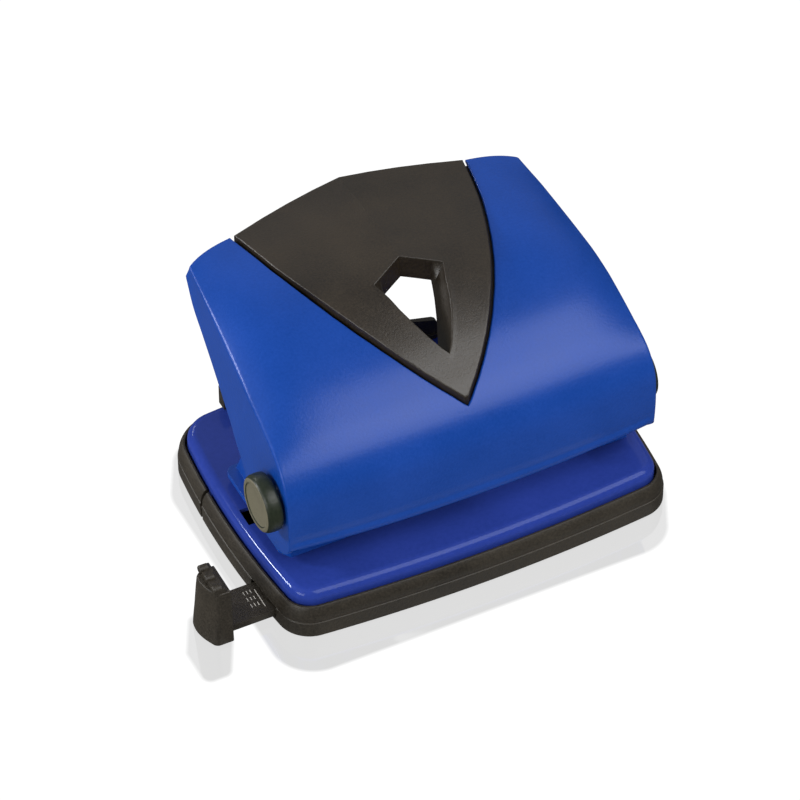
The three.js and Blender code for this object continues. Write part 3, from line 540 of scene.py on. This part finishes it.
def make_base_plate():
    """Pressed cover: rounded shoulder, thin rim, holes for dies and rivets, and a notch at each side."""
    def shoulder(thickness, bottom):
        radius = PLATE_SHOULDER - thickness
        rings = [(PLATE_IN + thickness, bottom)]
        for t in np.linspace(0, TAU / 4, 13):
            rings.append((PLATE_IN + thickness + radius * (1 - math.cos(t)),
                          PLATE_TOP - PLATE_SHOULDER + radius * math.sin(t)))
        return rings

    outside = shoulder(0, PLATE_BOTTOM + 0.25)
    inside = shoulder(SHEET, PLATE_BOTTOM + 0.25)
    rim = [(PLATE_IN + 0.08, PLATE_BOTTOM + 0.08), (PLATE_IN + 0.25, PLATE_BOTTOM),
           (PLATE_IN + SHEET - 0.25, PLATE_BOTTOM), (PLATE_IN + SHEET - 0.08, PLATE_BOTTOM + 0.08)]
    rings = [ring_at(*p) for p in inside[::-1] + rim[::-1] + outside]
    shape = Shape().grid(rings, wrap_columns=True).cap(rings[0], flip=True).cap(rings[-1])
    holes = []
    low, high = 5, 20  # the cutters' ends, below and above the sheet
    for side in (-1, 1):
        holes.append(turned([(DIE_HOLE_R, low), (DIE_HOLE_R, high)], (side * PIN_X, PIN_Y, 0)))
        rivet = [(RIVET_R + 0.15, low), (RIVET_R + 0.15, high)]
        holes += [turned(rivet, (side * RIVET_X, y, 0), sides=32) for y in RIVET_Y]
        x0, x1 = sorted(side * x for x in NOTCH_X)
        holes.append(block(x0, x1, *NOTCH_Y, low, high))
    piece("cover_plate", combined(shape.mesh("plate"), *holes, operation="DIFFERENCE"), GLOSS_BLUE,
          "gloss_paint", "base", "base_plate")


# ---------------------------------------------------------------- handle
def curve_through(points):
    """A centripetal Catmull-Rom curve through [y, z] points, with its parameter even from point to point."""
    points = [np.asarray(p, float) for p in points]
    points = [2 * points[0] - points[1], *points, 2 * points[-1] - points[-2]]

    def at(t):
        span = len(points) - 3
        place = t * span
        k = min(int(place), span - 1)
        w = place - k
        p0, p1, p2, p3 = points[k:k + 4]
        d0, d1, d2 = (max(np.linalg.norm(q - p) ** 0.5, 1e-4) for p, q in ((p0, p1), (p1, p2), (p2, p3)))
        m1 = ((p1 - p0) / d0 - (p2 - p0) / (d0 + d1) + (p2 - p1) / d1) * d1
        m2 = ((p2 - p1) / d1 - (p3 - p1) / (d1 + d2) + (p3 - p2) / d2) * d1
        return (p1 + m1 * w + (-3 * p1 + 3 * p2 - 2 * m1 - m2) * w * w
                + (2 * p1 - 2 * p2 + m1 + m2) * w ** 3)

    return at


roof_at, crease_at, edge_at = (curve_through(line) for line in (ROOF_LINE, CREASE_LINE, FLANGE_EDGE))
ARCH_END = 0.985  # where the face ends and the bend begins, as a share of the half width
BEND = 0.9
SPLAY = 0.7  # how far the flanges' free edges stand out at the rear
# Bead along the front edge: [distance up from the edge, height above the face].
HEM = [[0, 0], [0.8, 0.26], [1.5, 0.36], [2.1, 0.30], [2.7, 0.10], [3.2, -0.06], [4, -0.08], [6, 0]]


def arch_drop(t, u):
    """How far the face has come down from its middle (0) to its crease (1), u across.

    It is bowed at its front edge; on top it stays flat and rolls down near the creases.
    """
    drop = u ** np.interp(t, [0, 0.3, 0.6], [2.2, 4, 8])
    end = np.clip((t - 0.8) / 0.2, 0, 1)
    return drop + (0.4 * u ** 3 + 0.6 * u ** 8 - drop) * end


def half_width(y):
    """From the middle to the handle's crease."""
    ys, widths = zip(*HALF_WIDTHS)
    return float(np.interp(y, ys, widths))


def vee_x(y):
    """From the middle to the edge of the insert's opening in the sheet."""
    xs, ys = zip(*([[0, TIP_Y]] + VEE[::-1]))
    return float(np.interp(y, ys, xs))


def face_point(t, u):
    """A point of the handle's face: u is 0 in the middle and 1 at the right crease."""
    roof, crease = roof_at(t), crease_at(t)
    drop = arch_drop(t, u)
    y, z = roof + (crease - roof) * drop
    return np.array([u * half_width(crease[0]), y, z])


def solve(low, high, test):
    """Where test turns from false to true between low and high."""
    for _ in range(40):
        middle = (low + high) / 2
        low, high = (low, middle) if test(middle) else (middle, high)
    return (low + high) / 2


FACE_STEPS, BEND_STEPS, FLANGE_STEPS = 40, 6, 14


def handle_row(t, tip):
    """Right half of one cross-section: outer points from the opening or the centre to the flange's edge."""
    inner = 0.0
    if t > tip:
        inner = solve(0, 0.9, lambda u: face_point(t, u)[0] > vee_x(face_point(t, u)[1]))
    crease, edge = crease_at(t), edge_at(t)
    width = half_width(crease[0])
    spread = np.sin(np.linspace(0, TAU / 4, FACE_STEPS + 1)) ** 0.9
    us = inner + (ARCH_END - inner) * spread
    points = [face_point(t, u) for u in us]
    down = (edge - crease) / np.linalg.norm(edge - crease)
    corner = np.array([width, *crease])
    after = corner + np.array([0, *down]) * BEND
    for w in np.linspace(0, 1, BEND_STEPS + 1)[1:]:
        points.append((1 - w) ** 2 * points[FACE_STEPS] + 2 * w * (1 - w) * corner + w * w * after)
    lean = np.clip((t - 0.45) / 0.15, 0, 1)
    end = np.array([width + SPLAY * lean * lean * (3 - 2 * lean), *edge])
    points += [after + (end - after) * k / FLANGE_STEPS for k in range(1, FLANGE_STEPS + 1)]
    return points


def make_handle_shell():
    """Bent sheet with the insert's V-shaped opening, from its right half and that half's mirror image."""
    stations = 120
    tip = solve(0, 1, lambda t: roof_at(t)[0] > TIP_Y)
    ts = [*np.linspace(0, 1, stations + 1), *np.linspace(0.003, 0.095, 30)]  # closer over the front bead
    ts = sorted([t for t in ts if abs(t - tip) > 0.4 / stations] + [tip])
    right = np.array([handle_row(t, tip) for t in ts])
    face_end, bend_end = FACE_STEPS, FACE_STEPS + BEND_STEPS
    across = np.gradient(right, axis=1)
    along = np.gradient(right, axis=0)
    normals = np.cross(across, along)
    normals /= np.linalg.norm(normals, axis=2)[:, :, None]
    normals[:, 0] = normals[:, 1]
    closed = [i for i, t in enumerate(ts) if t <= tip]
    normals[closed, 0, 0] = 0
    flat = normals[:, bend_end:].mean(axis=1)
    normals[:, bend_end:] = (flat / np.linalg.norm(flat, axis=1)[:, None])[:, None]
    # Inside the bend every inner point lies on the line where the two inner faces meet.
    inner = right - normals * SHEET
    fold = normals[:, face_end] + normals[:, bend_end]
    fold /= (1 + (normals[:, face_end] * normals[:, bend_end]).sum(axis=1))[:, None]
    inner[:, face_end:bend_end + 1] = (right[:, face_end] + (right[:, bend_end] - right[:, face_end]) * 0.5
                                       - fold * SHEET * 0.85)[:, None]
    up = np.linalg.norm(np.array([roof_at(t) for t in ts]) - roof_at(0), axis=1)
    bead = np.interp(up, *zip(*HEM))[:, None] * np.clip((1 - right[:, :, 0] / half_width(-32)) / 0.06, 0, 1)
    right += normals * bead[:, :, None]
    soft = 0.4

    def edge_strip(points, inside, outward, normal):
        """Rounded rim: pulls the outer and inner border points in, and returns the rings between them."""
        rings = []
        for angle in np.linspace(0, TAU / 4, 5):
            rings.append(points + outward * soft * (math.sin(angle) - 1)
                         - normal * soft * (1 - math.cos(angle)))
        for angle in np.linspace(TAU / 4, 0, 5):
            rings.append(inside + outward * soft * (math.sin(angle) - 1)
                         + normal * soft * (1 - math.cos(angle)))
        return rings

    # Indices of the right half's border, from the front middle round to the opening's tip.
    rows, columns = len(ts), right.shape[1]
    route = [(0, j) for j in range(columns)]
    route += [(i, columns - 1) for i in range(1, rows)]
    route += [(rows - 1, j) for j in range(columns - 2, -1, -1)]
    route += [(i, 0) for i in range(rows - 2, len(closed) - 2, -1)]
    uphill = roof_at(tip + 0.01) - roof_at(tip)
    shape = Shape()
    for side in (1, -1):
        mirror = np.array([side, 1, 1])
        loop = np.array([right[i, j] for i, j in route])
        inside = np.array([inner[i, j] for i, j in route])
        normal = np.array([normals[i, j] for i, j in route])
        ahead = np.roll(loop, -1, axis=0) - loop
        behind = loop - np.roll(loop, 1, axis=0)
        ahead[-1], behind[0] = [0, -1, 0], [1, 0, 0]
        tangent = (ahead / np.linalg.norm(ahead, axis=1)[:, None]
                   + behind / np.maximum(np.linalg.norm(behind, axis=1), 1e-9)[:, None])
        outward = np.cross(tangent, normal)
        outward /= np.linalg.norm(outward, axis=1)[:, None]
        outward[0, 0] = 0
        outward[-1] = [0, *uphill / np.linalg.norm(uphill)]
        rings = edge_strip(loop, inside, outward, normal)
        outer_grid, inner_grid = right.copy(), inner.copy()
        for (i, j), top, bottom in zip(route, rings[0], rings[-1]):
            outer_grid[i, j], inner_grid[i, j] = top, bottom
        shape.grid(outer_grid * mirror)
        shape.grid(inner_grid * mirror)
        shape.grid(np.array(rings) * mirror)
    bore = rod_x(-60, 60, AXLE_Y, AXLE_Z, AXLE_R + 0.2)
    data = shape.mesh("handle")
    piece("handle_cover", combined(data, bore, operation="DIFFERENCE"), SATIN_BLUE, "blue_paint", "handle",
          "handle_shell", smooth=40)


# ---------------------------------------------------------------- handle insert
def roof_height(y):
    """Height of the outer face's middle line."""
    return roof_at(solve(0.05, 1, lambda t: roof_at(t)[0] > y))[1]


ROOF_TABLE = [(y, roof_height(y)) for y in np.linspace(-33, 41, 160)]


def insert_height(x, y):
    """The insert's top face: proud of the sheet at the tip, and ridged along the middle at the rear."""
    ys, zs = zip(*ROOF_TABLE)
    step = np.clip((y + 10) / 35, 0, 1)
    proud = 1.2 + (0.3 - 1.2) * step * step * (3 - 2 * step)
    rise = np.clip((y + 20) / 34, 0, 1)
    ridge = 2.4 * rise * rise * (3 - 2 * rise) * (1 - min(abs(x) / 33, 1))
    return np.interp(min(y, 41), ys, zs) - max(0, y - 41) * 0.04 + proud + ridge


def by_angle(loop, angles, centre):
    """Points of the loop in the directions given, seen from the centre."""
    loop = np.array(loop, float) - centre
    closed = np.vstack([loop, loop[:1]])
    result = []
    for a in angles:
        d = np.array([math.cos(a), math.sin(a)])
        best = None
        for p, q in zip(closed, closed[1:]):
            e = q - p
            det = d[0] * -e[1] + d[1] * e[0]
            if abs(det) < 1e-12:
                continue
            s = (p[0] * -e[1] + p[1] * e[0]) / det
            w = (d[0] * p[1] - d[1] * p[0]) / det
            if s > 0 and -1e-9 <= w <= 1 + 1e-9:
                best = s if best is None else min(best, s)
        result.append(d * best + centre)
    return np.array(result)


def insert_outline():
    """The insert's outer edge in plan: inside the V, and cut off along the rear line."""
    rear_y = 39.8
    sides = [[x - INSERT_IN, y] for x, y in VEE if y < rear_y]
    xs, ys = zip(*((x - INSERT_IN, y) for x, y in VEE[::-1]))
    corner = [float(np.interp(rear_y, ys, xs)), rear_y]
    rear = [[x, y] for x, y in INSERT_REAR if y > corner[1] and 0 <= x < corner[0]]
    return mirrored([[0, TIP_Y + INSERT_IN * 1.2]] + sides[::-1] + [corner] + sorted(rear, reverse=True))


def make_handle_insert():
    """A shallow roof with a five-sided opening; its rings run from the opening to the outer edge."""
    outer = insert_outline()
    centre = np.array([0, 1.0])
    corners = [math.atan2(y - centre[1], x) % TAU for x, y in outer + HOLE]
    angles = sorted(set(np.round(np.concatenate([corners, np.linspace(0, TAU, 240, endpoint=False)]), 5)))
    hole, foot, rim = (by_angle(loop, angles, centre) for loop in (HOLE, HOLE_FOOT, outer))
    grown = by_angle([(x * 1.2, (y + 1) * 1.16 - 1) for x, y in HOLE], angles, centre)
    hole_soft, rim_soft, lip = 0.35, 0.35, 0.15

    def lifted(loop, drop, over=None):
        """The loop, dropped below the insert's top face at its own place or over another loop."""
        over = loop if over is None else over
        return [[x, y, insert_height(*place) - drop] for (x, y), place in zip(loop, over)]

    # Up the opening's wall, over its rounded edge, across the top and down the outer edge.
    rings = [lifted(grown, PLATE_DEPTH), lifted(grown, COLLAR_DEPTH), lifted(foot, COLLAR_DEPTH, hole)]
    for w in np.linspace(0, 1, 7)[1:]:
        drop = COLLAR_DEPTH + (hole_soft - lip - COLLAR_DEPTH) * w
        rings.append(lifted(foot + (hole - foot) * w, drop, hole))
    for a in np.linspace(0, TAU / 4, 5)[1:]:
        loop = offset_loop(hole, hole_soft * (1 - math.cos(a)))
        rings.append(lifted(loop, hole_soft * (1 - math.sin(a)) - lip))
    rings.append(lifted(offset_loop(hole, hole_soft + 0.25), -lip * 0.8))
    inner_edge = offset_loop(hole, hole_soft + 0.6)
    outer_edge = offset_loop(rim, -rim_soft)
    for w in np.linspace(0, 1, 22)[1:-1]:
        rings.append(lifted(inner_edge + (outer_edge - inner_edge) * w, 0))
    for a in np.linspace(0, TAU / 4, 5):
        loop = offset_loop(rim, -rim_soft * (1 - math.sin(a)))
        rings.append(lifted(loop, rim_soft * (1 - math.cos(a))))
    rings.append(lifted(rim, PLATE_DEPTH))
    for w in np.linspace(0, 1, 12)[1:-1]:
        rings.append(lifted(rim + (grown - rim) * w, PLATE_DEPTH))
    shape = Shape().grid(rings, wrap_rows=True, wrap_columns=True)
    data = combined(shape.mesh("inlay"), insert_ledge(-1), insert_ledge(1))
    item = piece("handle_inlay", data, INSERT, "insert_plastic", "handle", "handle_insert", smooth=28)
    # The ridge behind the opening stays a crisp fold.
    sharp = item.data.attributes["sharp_edge"].data
    for edge in item.data.edges:
        ends = [item.data.vertices[v].co for v in edge.vertices]
        if all(abs(v.x) < 0.01 * MM and v.y > 11 * MM for v in ends):
            sharp[edge.index].value = True


LEDGE_Y = (-24.9, 39.2)
LEDGE_OUT, LEDGE_IN, LEDGE_DEPTH = 1.2, 2.5, 1.1


def insert_ledge(side):
    """Ledge under the sheet, along one side of the V: it hides the gap beside the insert."""
    def along(inset):
        return [(side * (vee_x(y) - inset), y) for y in np.linspace(*LEDGE_Y, 90)[::side]]

    def ledge_top(y):
        slope = roof_height(y + 0.5) - roof_height(y - 0.5)
        return roof_height(y) - (SHEET + 2 * GAP) * math.hypot(1, slope)

    outside, inside = along(-LEDGE_OUT), along(LEDGE_IN)
    rings = []
    for loop, drop in ((outside, LEDGE_DEPTH), (outside, 0), (inside, 0), (inside, LEDGE_DEPTH)):
        rings.append([[x, y, ledge_top(y) - drop] for x, y in loop])
    shape = Shape().grid(rings, wrap_rows=True)
    return shape.cap([ring[0] for ring in rings], flip=True).cap([ring[-1] for ring in rings]).mesh("ledge")


# ---------------------------------------------------------------- axle and its caps
# Their sections: [radius, distance from the flange].
HIGH_CAP = [(AXLE_R + 0.15, 0), (6.9, 0), (7.3, 0.1), (7.62, 0.4), (7.74, 0.9), (7.8, 1.6), (7.78, 2.6),
            (7.7, 3.3), (7.5, 3.85), (7.15, 4.25), (6.75, 4.46), (6.35, 4.5), (6.05, 4.42), (5.8, 4.22),
            (5.4, 4.12), (3, 4.02), (0, 4.0)]
LOW_CAP = [(AXLE_R + 0.15, 0), (7.6, 0), (7.75, 0.12), (7.8, 0.35), (7.75, 0.7), (7.55, 1.0), (7.2, 1.16),
           (6.8, 1.2), (3, 1.16), (0, 1.14)]


def make_axle():
    """The axle's rod, and a high cap on its left end and a low one on its right."""
    a, b = AXLE_LEFT, AXLE_RIGHT
    rod = [(0, a), (2.6, a), (AXLE_R, a + 0.4), (AXLE_R, b - 0.4), (2.6, b), (0, b)]
    piece("pivot_rod", turned(rod, (0, AXLE_Y, AXLE_Z), "X"), STEEL, "steel", "base", "axle")
    for word, side, profile, face in (("left", -1, HIGH_CAP, HIGH_CAP_FACE),
                                      ("right", 1, LOW_CAP, LOW_CAP_FACE)):
        height = max(along for _, along in profile)
        data = turned(profile, (side * (face - height), AXLE_Y, AXLE_Z), "X", 96, flip=side < 0)
        item = piece(f"pivot_cap_{word}", data, CAP, "cap_plastic", "base", f"axle_cap_{word}")
        item.data.materials.append(CAP_END_LIT)
        for polygon in item.data.polygons:
            if side * polygon.normal.x > 0.8:  # the flat end, in a paler, rougher copy of the cap plastic: the paleness is painted light where it faces the light from the left
                polygon.material_index = 1


# ---------------------------------------------------------------- punches, springs, rivets, hinge rod
def make_punches():
    """Both heads: pin, collar, two rivets and a return spring each."""
    for word, side in (("left", -1), ("right", 1)):
        x = side * PIN_X
        body = f"punch_{word}"
        pin = [(0, STROKE_TIP_Z + 0.9), (PIN_R - 0.5, STROKE_TIP_Z), (PIN_R - 0.08, STROKE_TIP_Z + 0.02),
               (PIN_R, STROKE_TIP_Z + 0.2), (PIN_R, COLLAR_Z + 0.5), (PIN_R - 0.1, COLLAR_Z + 0.6),
               (2.2, COLLAR_Z + 0.6), (2.2, COLLAR_Z + 2), (PIN_R - 0.1, COLLAR_Z + 2),
               (PIN_R, COLLAR_Z + 2.1), (PIN_R, HEAD_Z - 0.8), (2.5, HEAD_Z - 0.25), (2, HEAD_Z), (0, HEAD_Z)]
        piece(f"cutter_{word}", turned(pin, (x, PIN_Y, 0)), STEEL, "steel", body, f"punch_pin_{word}")
        z0, z1 = COLLAR_FOOT, COLLAR_HEAD
        ring = [(2.4, z0), (4.85, z0), (5, z0 + 0.15), (5, z1 - 0.15), (4.85, z1), (2.4, z1), (2.4, z0)]
        piece(f"retainer_{word}", turned(ring, (x, PIN_Y, 0)), STEEL, "steel", body, f"pin_collar_{word}")
        for n, y in enumerate(RIVET_Y, 1):
            base, low = PLATE_TOP + GAP + BRACKET_SHEET, PLATE_TOP - SHEET
            head = [(0, low - 1.2), (2.2, low - 1.2), (2.4, low - 0.4), (2.4, low - GAP),
                    (RIVET_R, low - GAP), (RIVET_R, base + GAP), (2.72, base + GAP),
                    (2.8, base + GAP + 0.08), (2.74, base + 0.75),
                    (2.5, base + 1.15), (2.1, base + 1.42), (1.5, base + 1.6), (0.8, base + 1.68),
                    (0, base + 1.7)]
            piece(f"stud_{word}_{n}", turned(head, (side * RIVET_X, y, 0), sides=48), STEEL, "steel", "base",
                  f"rivet_{word}_{n}")
        make_spring(word, x)


def make_spring(word, x):
    """Wire helix between the bracket's upper plate and the collar."""
    wire, coil, turns = 0.55, 4.3, 6
    bottom, top = GUIDE_PLATE_Z + BRACKET_SHEET + GAP + wire, COLLAR_FOOT - GAP - wire
    rows = []
    up = np.array([0, 0, 1])
    steps, sides = turns * 40, 10
    for k in range(steps + 1):
        w = k / steps
        angle = w * turns * TAU
        out = np.array([math.cos(angle), math.sin(angle), 0])
        middle = np.array([x, PIN_Y, bottom + (top - bottom) * w]) + out * coil
        rows.append([middle + wire * (math.cos(TAU * s / sides) * out + math.sin(TAU * s / sides) * up)
                     for s in range(sides)])
    shape = Shape().grid(rows, wrap_columns=True).cap(rows[0]).cap(rows[-1], flip=True)
    item = piece(f"coil_{word}", shape.mesh("coil"), SPRING, "spring_steel", "base",
                 f"return_spring_{word}")
    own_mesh(item)


# ---------------------------------------------------------------- paper guide
def fin_outline(z):
    """Plan of the guide's upright stop at a height."""
    draft = float(np.interp(z, [0.4, 3, 8, 14, FIN_BODY_TOP], [0, 0.2, 0.7, 1.2, 1.6]))
    corners = [[STOP_FACE, -31.2 + draft * 0.5], [STOP_FACE, -18.4 - draft],
               [-72.3 + draft * 0.3, -18.4 - draft], [-74.7 + draft * 0.7, -20 - draft * 0.8],
               [-75.4 + draft, -23.5], [-74.8 + draft, -27], [-73.2 + draft * 0.9, -30.6 + draft * 0.5],
               [-72.2 + draft * 0.8, -31.2 + draft * 0.5]]
    return rounded(corners, [0.35, 0.35, 0.9, 1.6, 1.6, 1.6, 0.7, 0.5], 4)


def make_paper_guide():
    """The sliding bar with its upright stop, which has a crest with three ribs."""
    rows = []
    for z, shrink in ((0.4, 0.3), (0.52, 0.1), (0.75, 0), (1.5, 0), (3, 0), (5, 0), (8, 0), (11, 0), (14, 0),
                      (16, 0), (FIN_BODY_TOP - 0.5, 0), (FIN_BODY_TOP - 0.15, 0.1), (FIN_BODY_TOP, 0.3)):
        loop = fin_outline(z)
        if shrink:
            loop = offset_loop(loop, -shrink)
        rows.append([[x, y, z] for x, y in loop])
    shape = Shape().grid(rows, wrap_columns=True).cap(rows[0], flip=True).cap(rows[-1])
    bar = block(STOP_FACE - 0.5, STOP_FACE + BAR_LENGTH, BAR_FRONT, BAR_BACK, BAR_BOTTOM, BAR_TOP, 0.2)
    crest = block(-72.3, STOP_FACE - 1.2, -30, -19.6, FIN_TOP - 3, FIN_TOP - 0.9, 0.3)
    ends = (-72.6, STOP_FACE - 2)
    ribs = [turned([(0.9, ends[0]), (1.1, ends[0] + 0.25), (1.1, ends[1] - 0.25), (0.9, ends[1])],
                   (0, y, FIN_TOP - 1.1), "X", 28) for y in (-20.9, -24.6, -28.9)]
    data = combined(shape.mesh("fin"), bar, crest, *ribs)
    piece("format_guide", data, BLACK, "black_plastic", "guide", "paper_guide")


DIGITS_X, DIGITS_Y, DIGIT_PITCH, DIGIT_HEIGHT = -60.3, -19.6, 2.35, 1.25
STROKE_PITCH, STROKE_WIDTH = 0.95, 0.24
INDEX_LINES = ((-57.2, -56.95, -26.6, -20), (-65.6, -65.4, -23.5, -19))


def make_guide_marks():
    """Three rows of raised strokes in place of the format's digits, and two index lines, on the bar; their
    pale colour is a painted highlight where the raised marks catch the light.
    """
    spots = []
    for digit in range(3):
        y = DIGITS_Y - digit * DIGIT_PITCH
        for stroke in range(3):
            x = DIGITS_X + stroke * STROKE_PITCH
            spots.append((x, x + STROKE_WIDTH, y - DIGIT_HEIGHT, y))
    parts = [block(*spot, BAR_TOP - 0.1, BAR_TOP + 0.12, 0.05, 1) for spot in (*spots, *INDEX_LINES)]
    piece("format_marks", joined(*parts), MARK_HIGHLIGHT, "black_plastic", "guide")


# ---------------------------------------------------------------- assembly
make_base_frame()
make_tray_door()
make_base_plate()
make_handle_shell()
make_handle_insert()
make_axle()
make_punches()
make_paper_guide()
make_guide_marks()
hinge = turned([(0, -HINGE_END), (0.65, -HINGE_END), (HINGE_R, 0.2 - HINGE_END), (HINGE_R, HINGE_END - 0.2),
                (0.65, HINGE_END), (0, HINGE_END)], (0, HINGE_Y, HINGE_Z), "X", 32)
piece("hinge_pin", hinge, STEEL, "steel", "base", "tray_hinge_rod")
keep("tray_latch", BLACK, 0.3, 3)
keep("press_plate", STEEL, 0.2)
keep("guide_leaf", SPRING, 0.08)
for word in ("left", "right"):
    keep(f"punch_bracket_{word}", SATIN_BLUE, 0.3, 3)
    keep(f"die_plate_{word}", STEEL, 0.2)

# ---------------------------------------------------------------- floor, light and camera
AZIMUTH, ELEVATION = math.radians(27.084), math.radians(44.878)
DISTANCE = 1.1663
AIM_RIGHT, AIM_UP = -0.00495, 0.02073
LENS, SENSOR = 200, 36
FLOOR_SIZE, FLOOR_Z = 6, -0.0002
FLOOR_SEEN, FLOOR_GLOW, FLOOR_MIRRORED = 1.05, 0.8, 0.12  # to the camera, as soft light, and in the gloss
FLOOR_SHADE, FLOOR_GLOSS = 0.24, 0.13  # how dark and how glossy the reflection is
REFLECTION = (-4.7, -9.2)  # how far the footprint is swept, in X and Y
FADE = 1.2  # width of its soft edge
# Footprints of the base and the guide's stop: middle x, y, half sizes, corner radius, steps of the sweep.
SWEPT = ((0, 0, HALF_WIDTH - 1.5, HALF_DEPTH - 0.8, 11, 6), (STOP_FACE - 3.7, -24.8, 3.5, 6.2, 2, 14))


def studio_floor():
    """White sheet with a pale reflection painted on it, for the base and the guide's stop at rest."""
    data = bpy.data.meshes.new("studio_floor")
    corners = [(x * FLOOR_SIZE, y * FLOOR_SIZE, FLOOR_Z) for x, y in ((-1, -1), (1, -1), (1, 1), (-1, 1))]
    data.from_pydata(corners, [], [(0, 1, 2, 3)])
    finish = bpy.data.materials.new("studio_floor")
    add, link = node_tree(finish)

    def calc(operation, *values):
        node = add("Math")
        node.operation = operation
        for socket, value in zip(node.inputs, values):
            if isinstance(value, (int, float)):
                socket.default_value = value
            else:
                link(value, socket)
        return node.outputs[0]

    split = add("SeparateXYZ")
    link(add("TexCoord").outputs["Object"], split.inputs[0])

    def beyond(axis, middle, half):
        """Distance outside a strip along one axis, squared."""
        away = calc("ABSOLUTE", calc("SUBTRACT", split.outputs[axis], middle * MM))
        away = calc("MAXIMUM", calc("SUBTRACT", away, half * MM), 0)
        return calc("MULTIPLY", away, away)

    # The reflection is the footprint swept to the front left; near is the distance outside it, in metres.
    near = 1
    for x, y, half_x, half_y, corner, steps in SWEPT:
        for step in np.linspace(0, 1, steps):
            across = beyond("X", x + REFLECTION[0] * step, half_x - corner)
            along = beyond("Y", y + REFLECTION[1] * step, half_y - corner)
            away = calc("SQRT", calc("ADD", across, along))
            near = calc("MINIMUM", near, calc("SUBTRACT", away, corner * MM))
    fade = add("MapRange", From_Min=0, From_Max=FADE * MM, To_Min=1, To_Max=0)
    link(near, fade.inputs["Value"])
    out, mix, glow, path = add("OutputMaterial"), add("MixShader"), add("Emission"), add("LightPath")
    gloss = add("BsdfGlossy", Roughness=0.06, Color=(1, 1, 1, 1))
    seen = calc("MULTIPLY_ADD", fade.outputs["Result"], -FLOOR_SHADE, FLOOR_SEEN - FLOOR_GLOW)
    strength = calc("MULTIPLY_ADD", path.outputs["Is Camera Ray"], seen, FLOOR_GLOW)
    strength = calc("MULTIPLY_ADD", path.outputs["Is Glossy Ray"], FLOOR_MIRRORED - FLOOR_GLOW, strength)
    link(strength, glow.inputs["Strength"])
    link(calc("MULTIPLY", fade.outputs["Result"], FLOOR_GLOSS), mix.inputs["Fac"])
    link(glow.outputs[0], mix.inputs[1])
    link(gloss.outputs[0], mix.inputs[2])
    link(mix.outputs[0], out.inputs["Surface"])
    data.materials.append(finish)
    item = placed("studio_floor", data)


def studio_world():
    """Soft grey room, darker towards the horizon."""
    world = bpy.data.worlds.new("studio")
    bpy.context.scene.world = world
    add, link = node_tree(world)
    out, back = add("OutputWorld"), add("Background", Strength=1.0)
    link(back.outputs[0], out.inputs["Surface"])
    split, ramp = add("SeparateXYZ"), add("ValToRGB")
    link(add("TexCoord").outputs["Generated"], split.inputs[0])
    low, high = ramp.color_ramp.elements
    low.position, low.color = 0.05, (0.03, 0.03, 0.035, 1)
    high.position, high.color = 0.65, (0.25, 0.25, 0.26, 1)
    link(split.outputs["Z"], ramp.inputs["Fac"])
    link(ramp.outputs["Color"], back.inputs["Color"])


def softbox(name, place, aim, width, height, power):
    """A white rectangular area light at place, turned towards aim; sizes in metres, power in watts."""
    light = bpy.data.lights.new(name, "AREA")
    light.shape = "RECTANGLE"
    light.size, light.size_y = width, height
    light.energy = power
    item = placed(name, light)
    item.location = place
    item.rotation_euler = (Vector(aim) - Vector(place)).to_track_quat("-Z", "Y").to_euler()


def studio_camera():
    """The photograph's viewpoint: front left, looking down at 45 degrees through a long lens."""
    a, e = AZIMUTH, ELEVATION
    back = Vector((-math.sin(a) * math.cos(e), -math.cos(a) * math.cos(e), math.sin(e)))
    right = Vector((math.cos(a), -math.sin(a), 0))
    up = Vector((math.sin(a) * math.sin(e), math.cos(a) * math.sin(e), math.cos(e)))
    camera = bpy.data.cameras.new("camera")
    camera.lens, camera.sensor_width = LENS, SENSOR
    camera.clip_start, camera.clip_end = 0.05, 20
    item = placed("camera", camera)
    item.location = back * DISTANCE
    aim = right * AIM_RIGHT + up * AIM_UP
    item.rotation_euler = (aim - item.location).to_track_quat("-Z", "Y").to_euler()
    bpy.context.scene.camera = item


studio_floor()
studio_world()
softbox("key_front", (0.30, -0.46, 0.66), (0, 0, 0.04), 0.70, 0.55, 5.6)
softbox("backdrop", (0.75, 1.05, 1.15), (0, 0, 0), 1.4, 1.1, 1.6)
softbox("rim_rear_left", (-0.85, 0.55, 0.42), (0, 0, 0.02), 0.20, 0.12, 6)
softbox("rim_rear", (-0.25, 1.10, 0.55), (0, 0, 0.05), 0.50, 0.10, 1.8)
softbox("fill_left", (-0.90, -0.40, 0.45), (0, 0, 0.02), 0.60, 0.40, 5.4)
softbox("top_left", (-0.80, 0.10, 1.00), (0, 0, 0.02), 0.90, 0.90, 1.2)
studio_camera()
bpy.context.scene.view_settings.view_transform = "Standard"
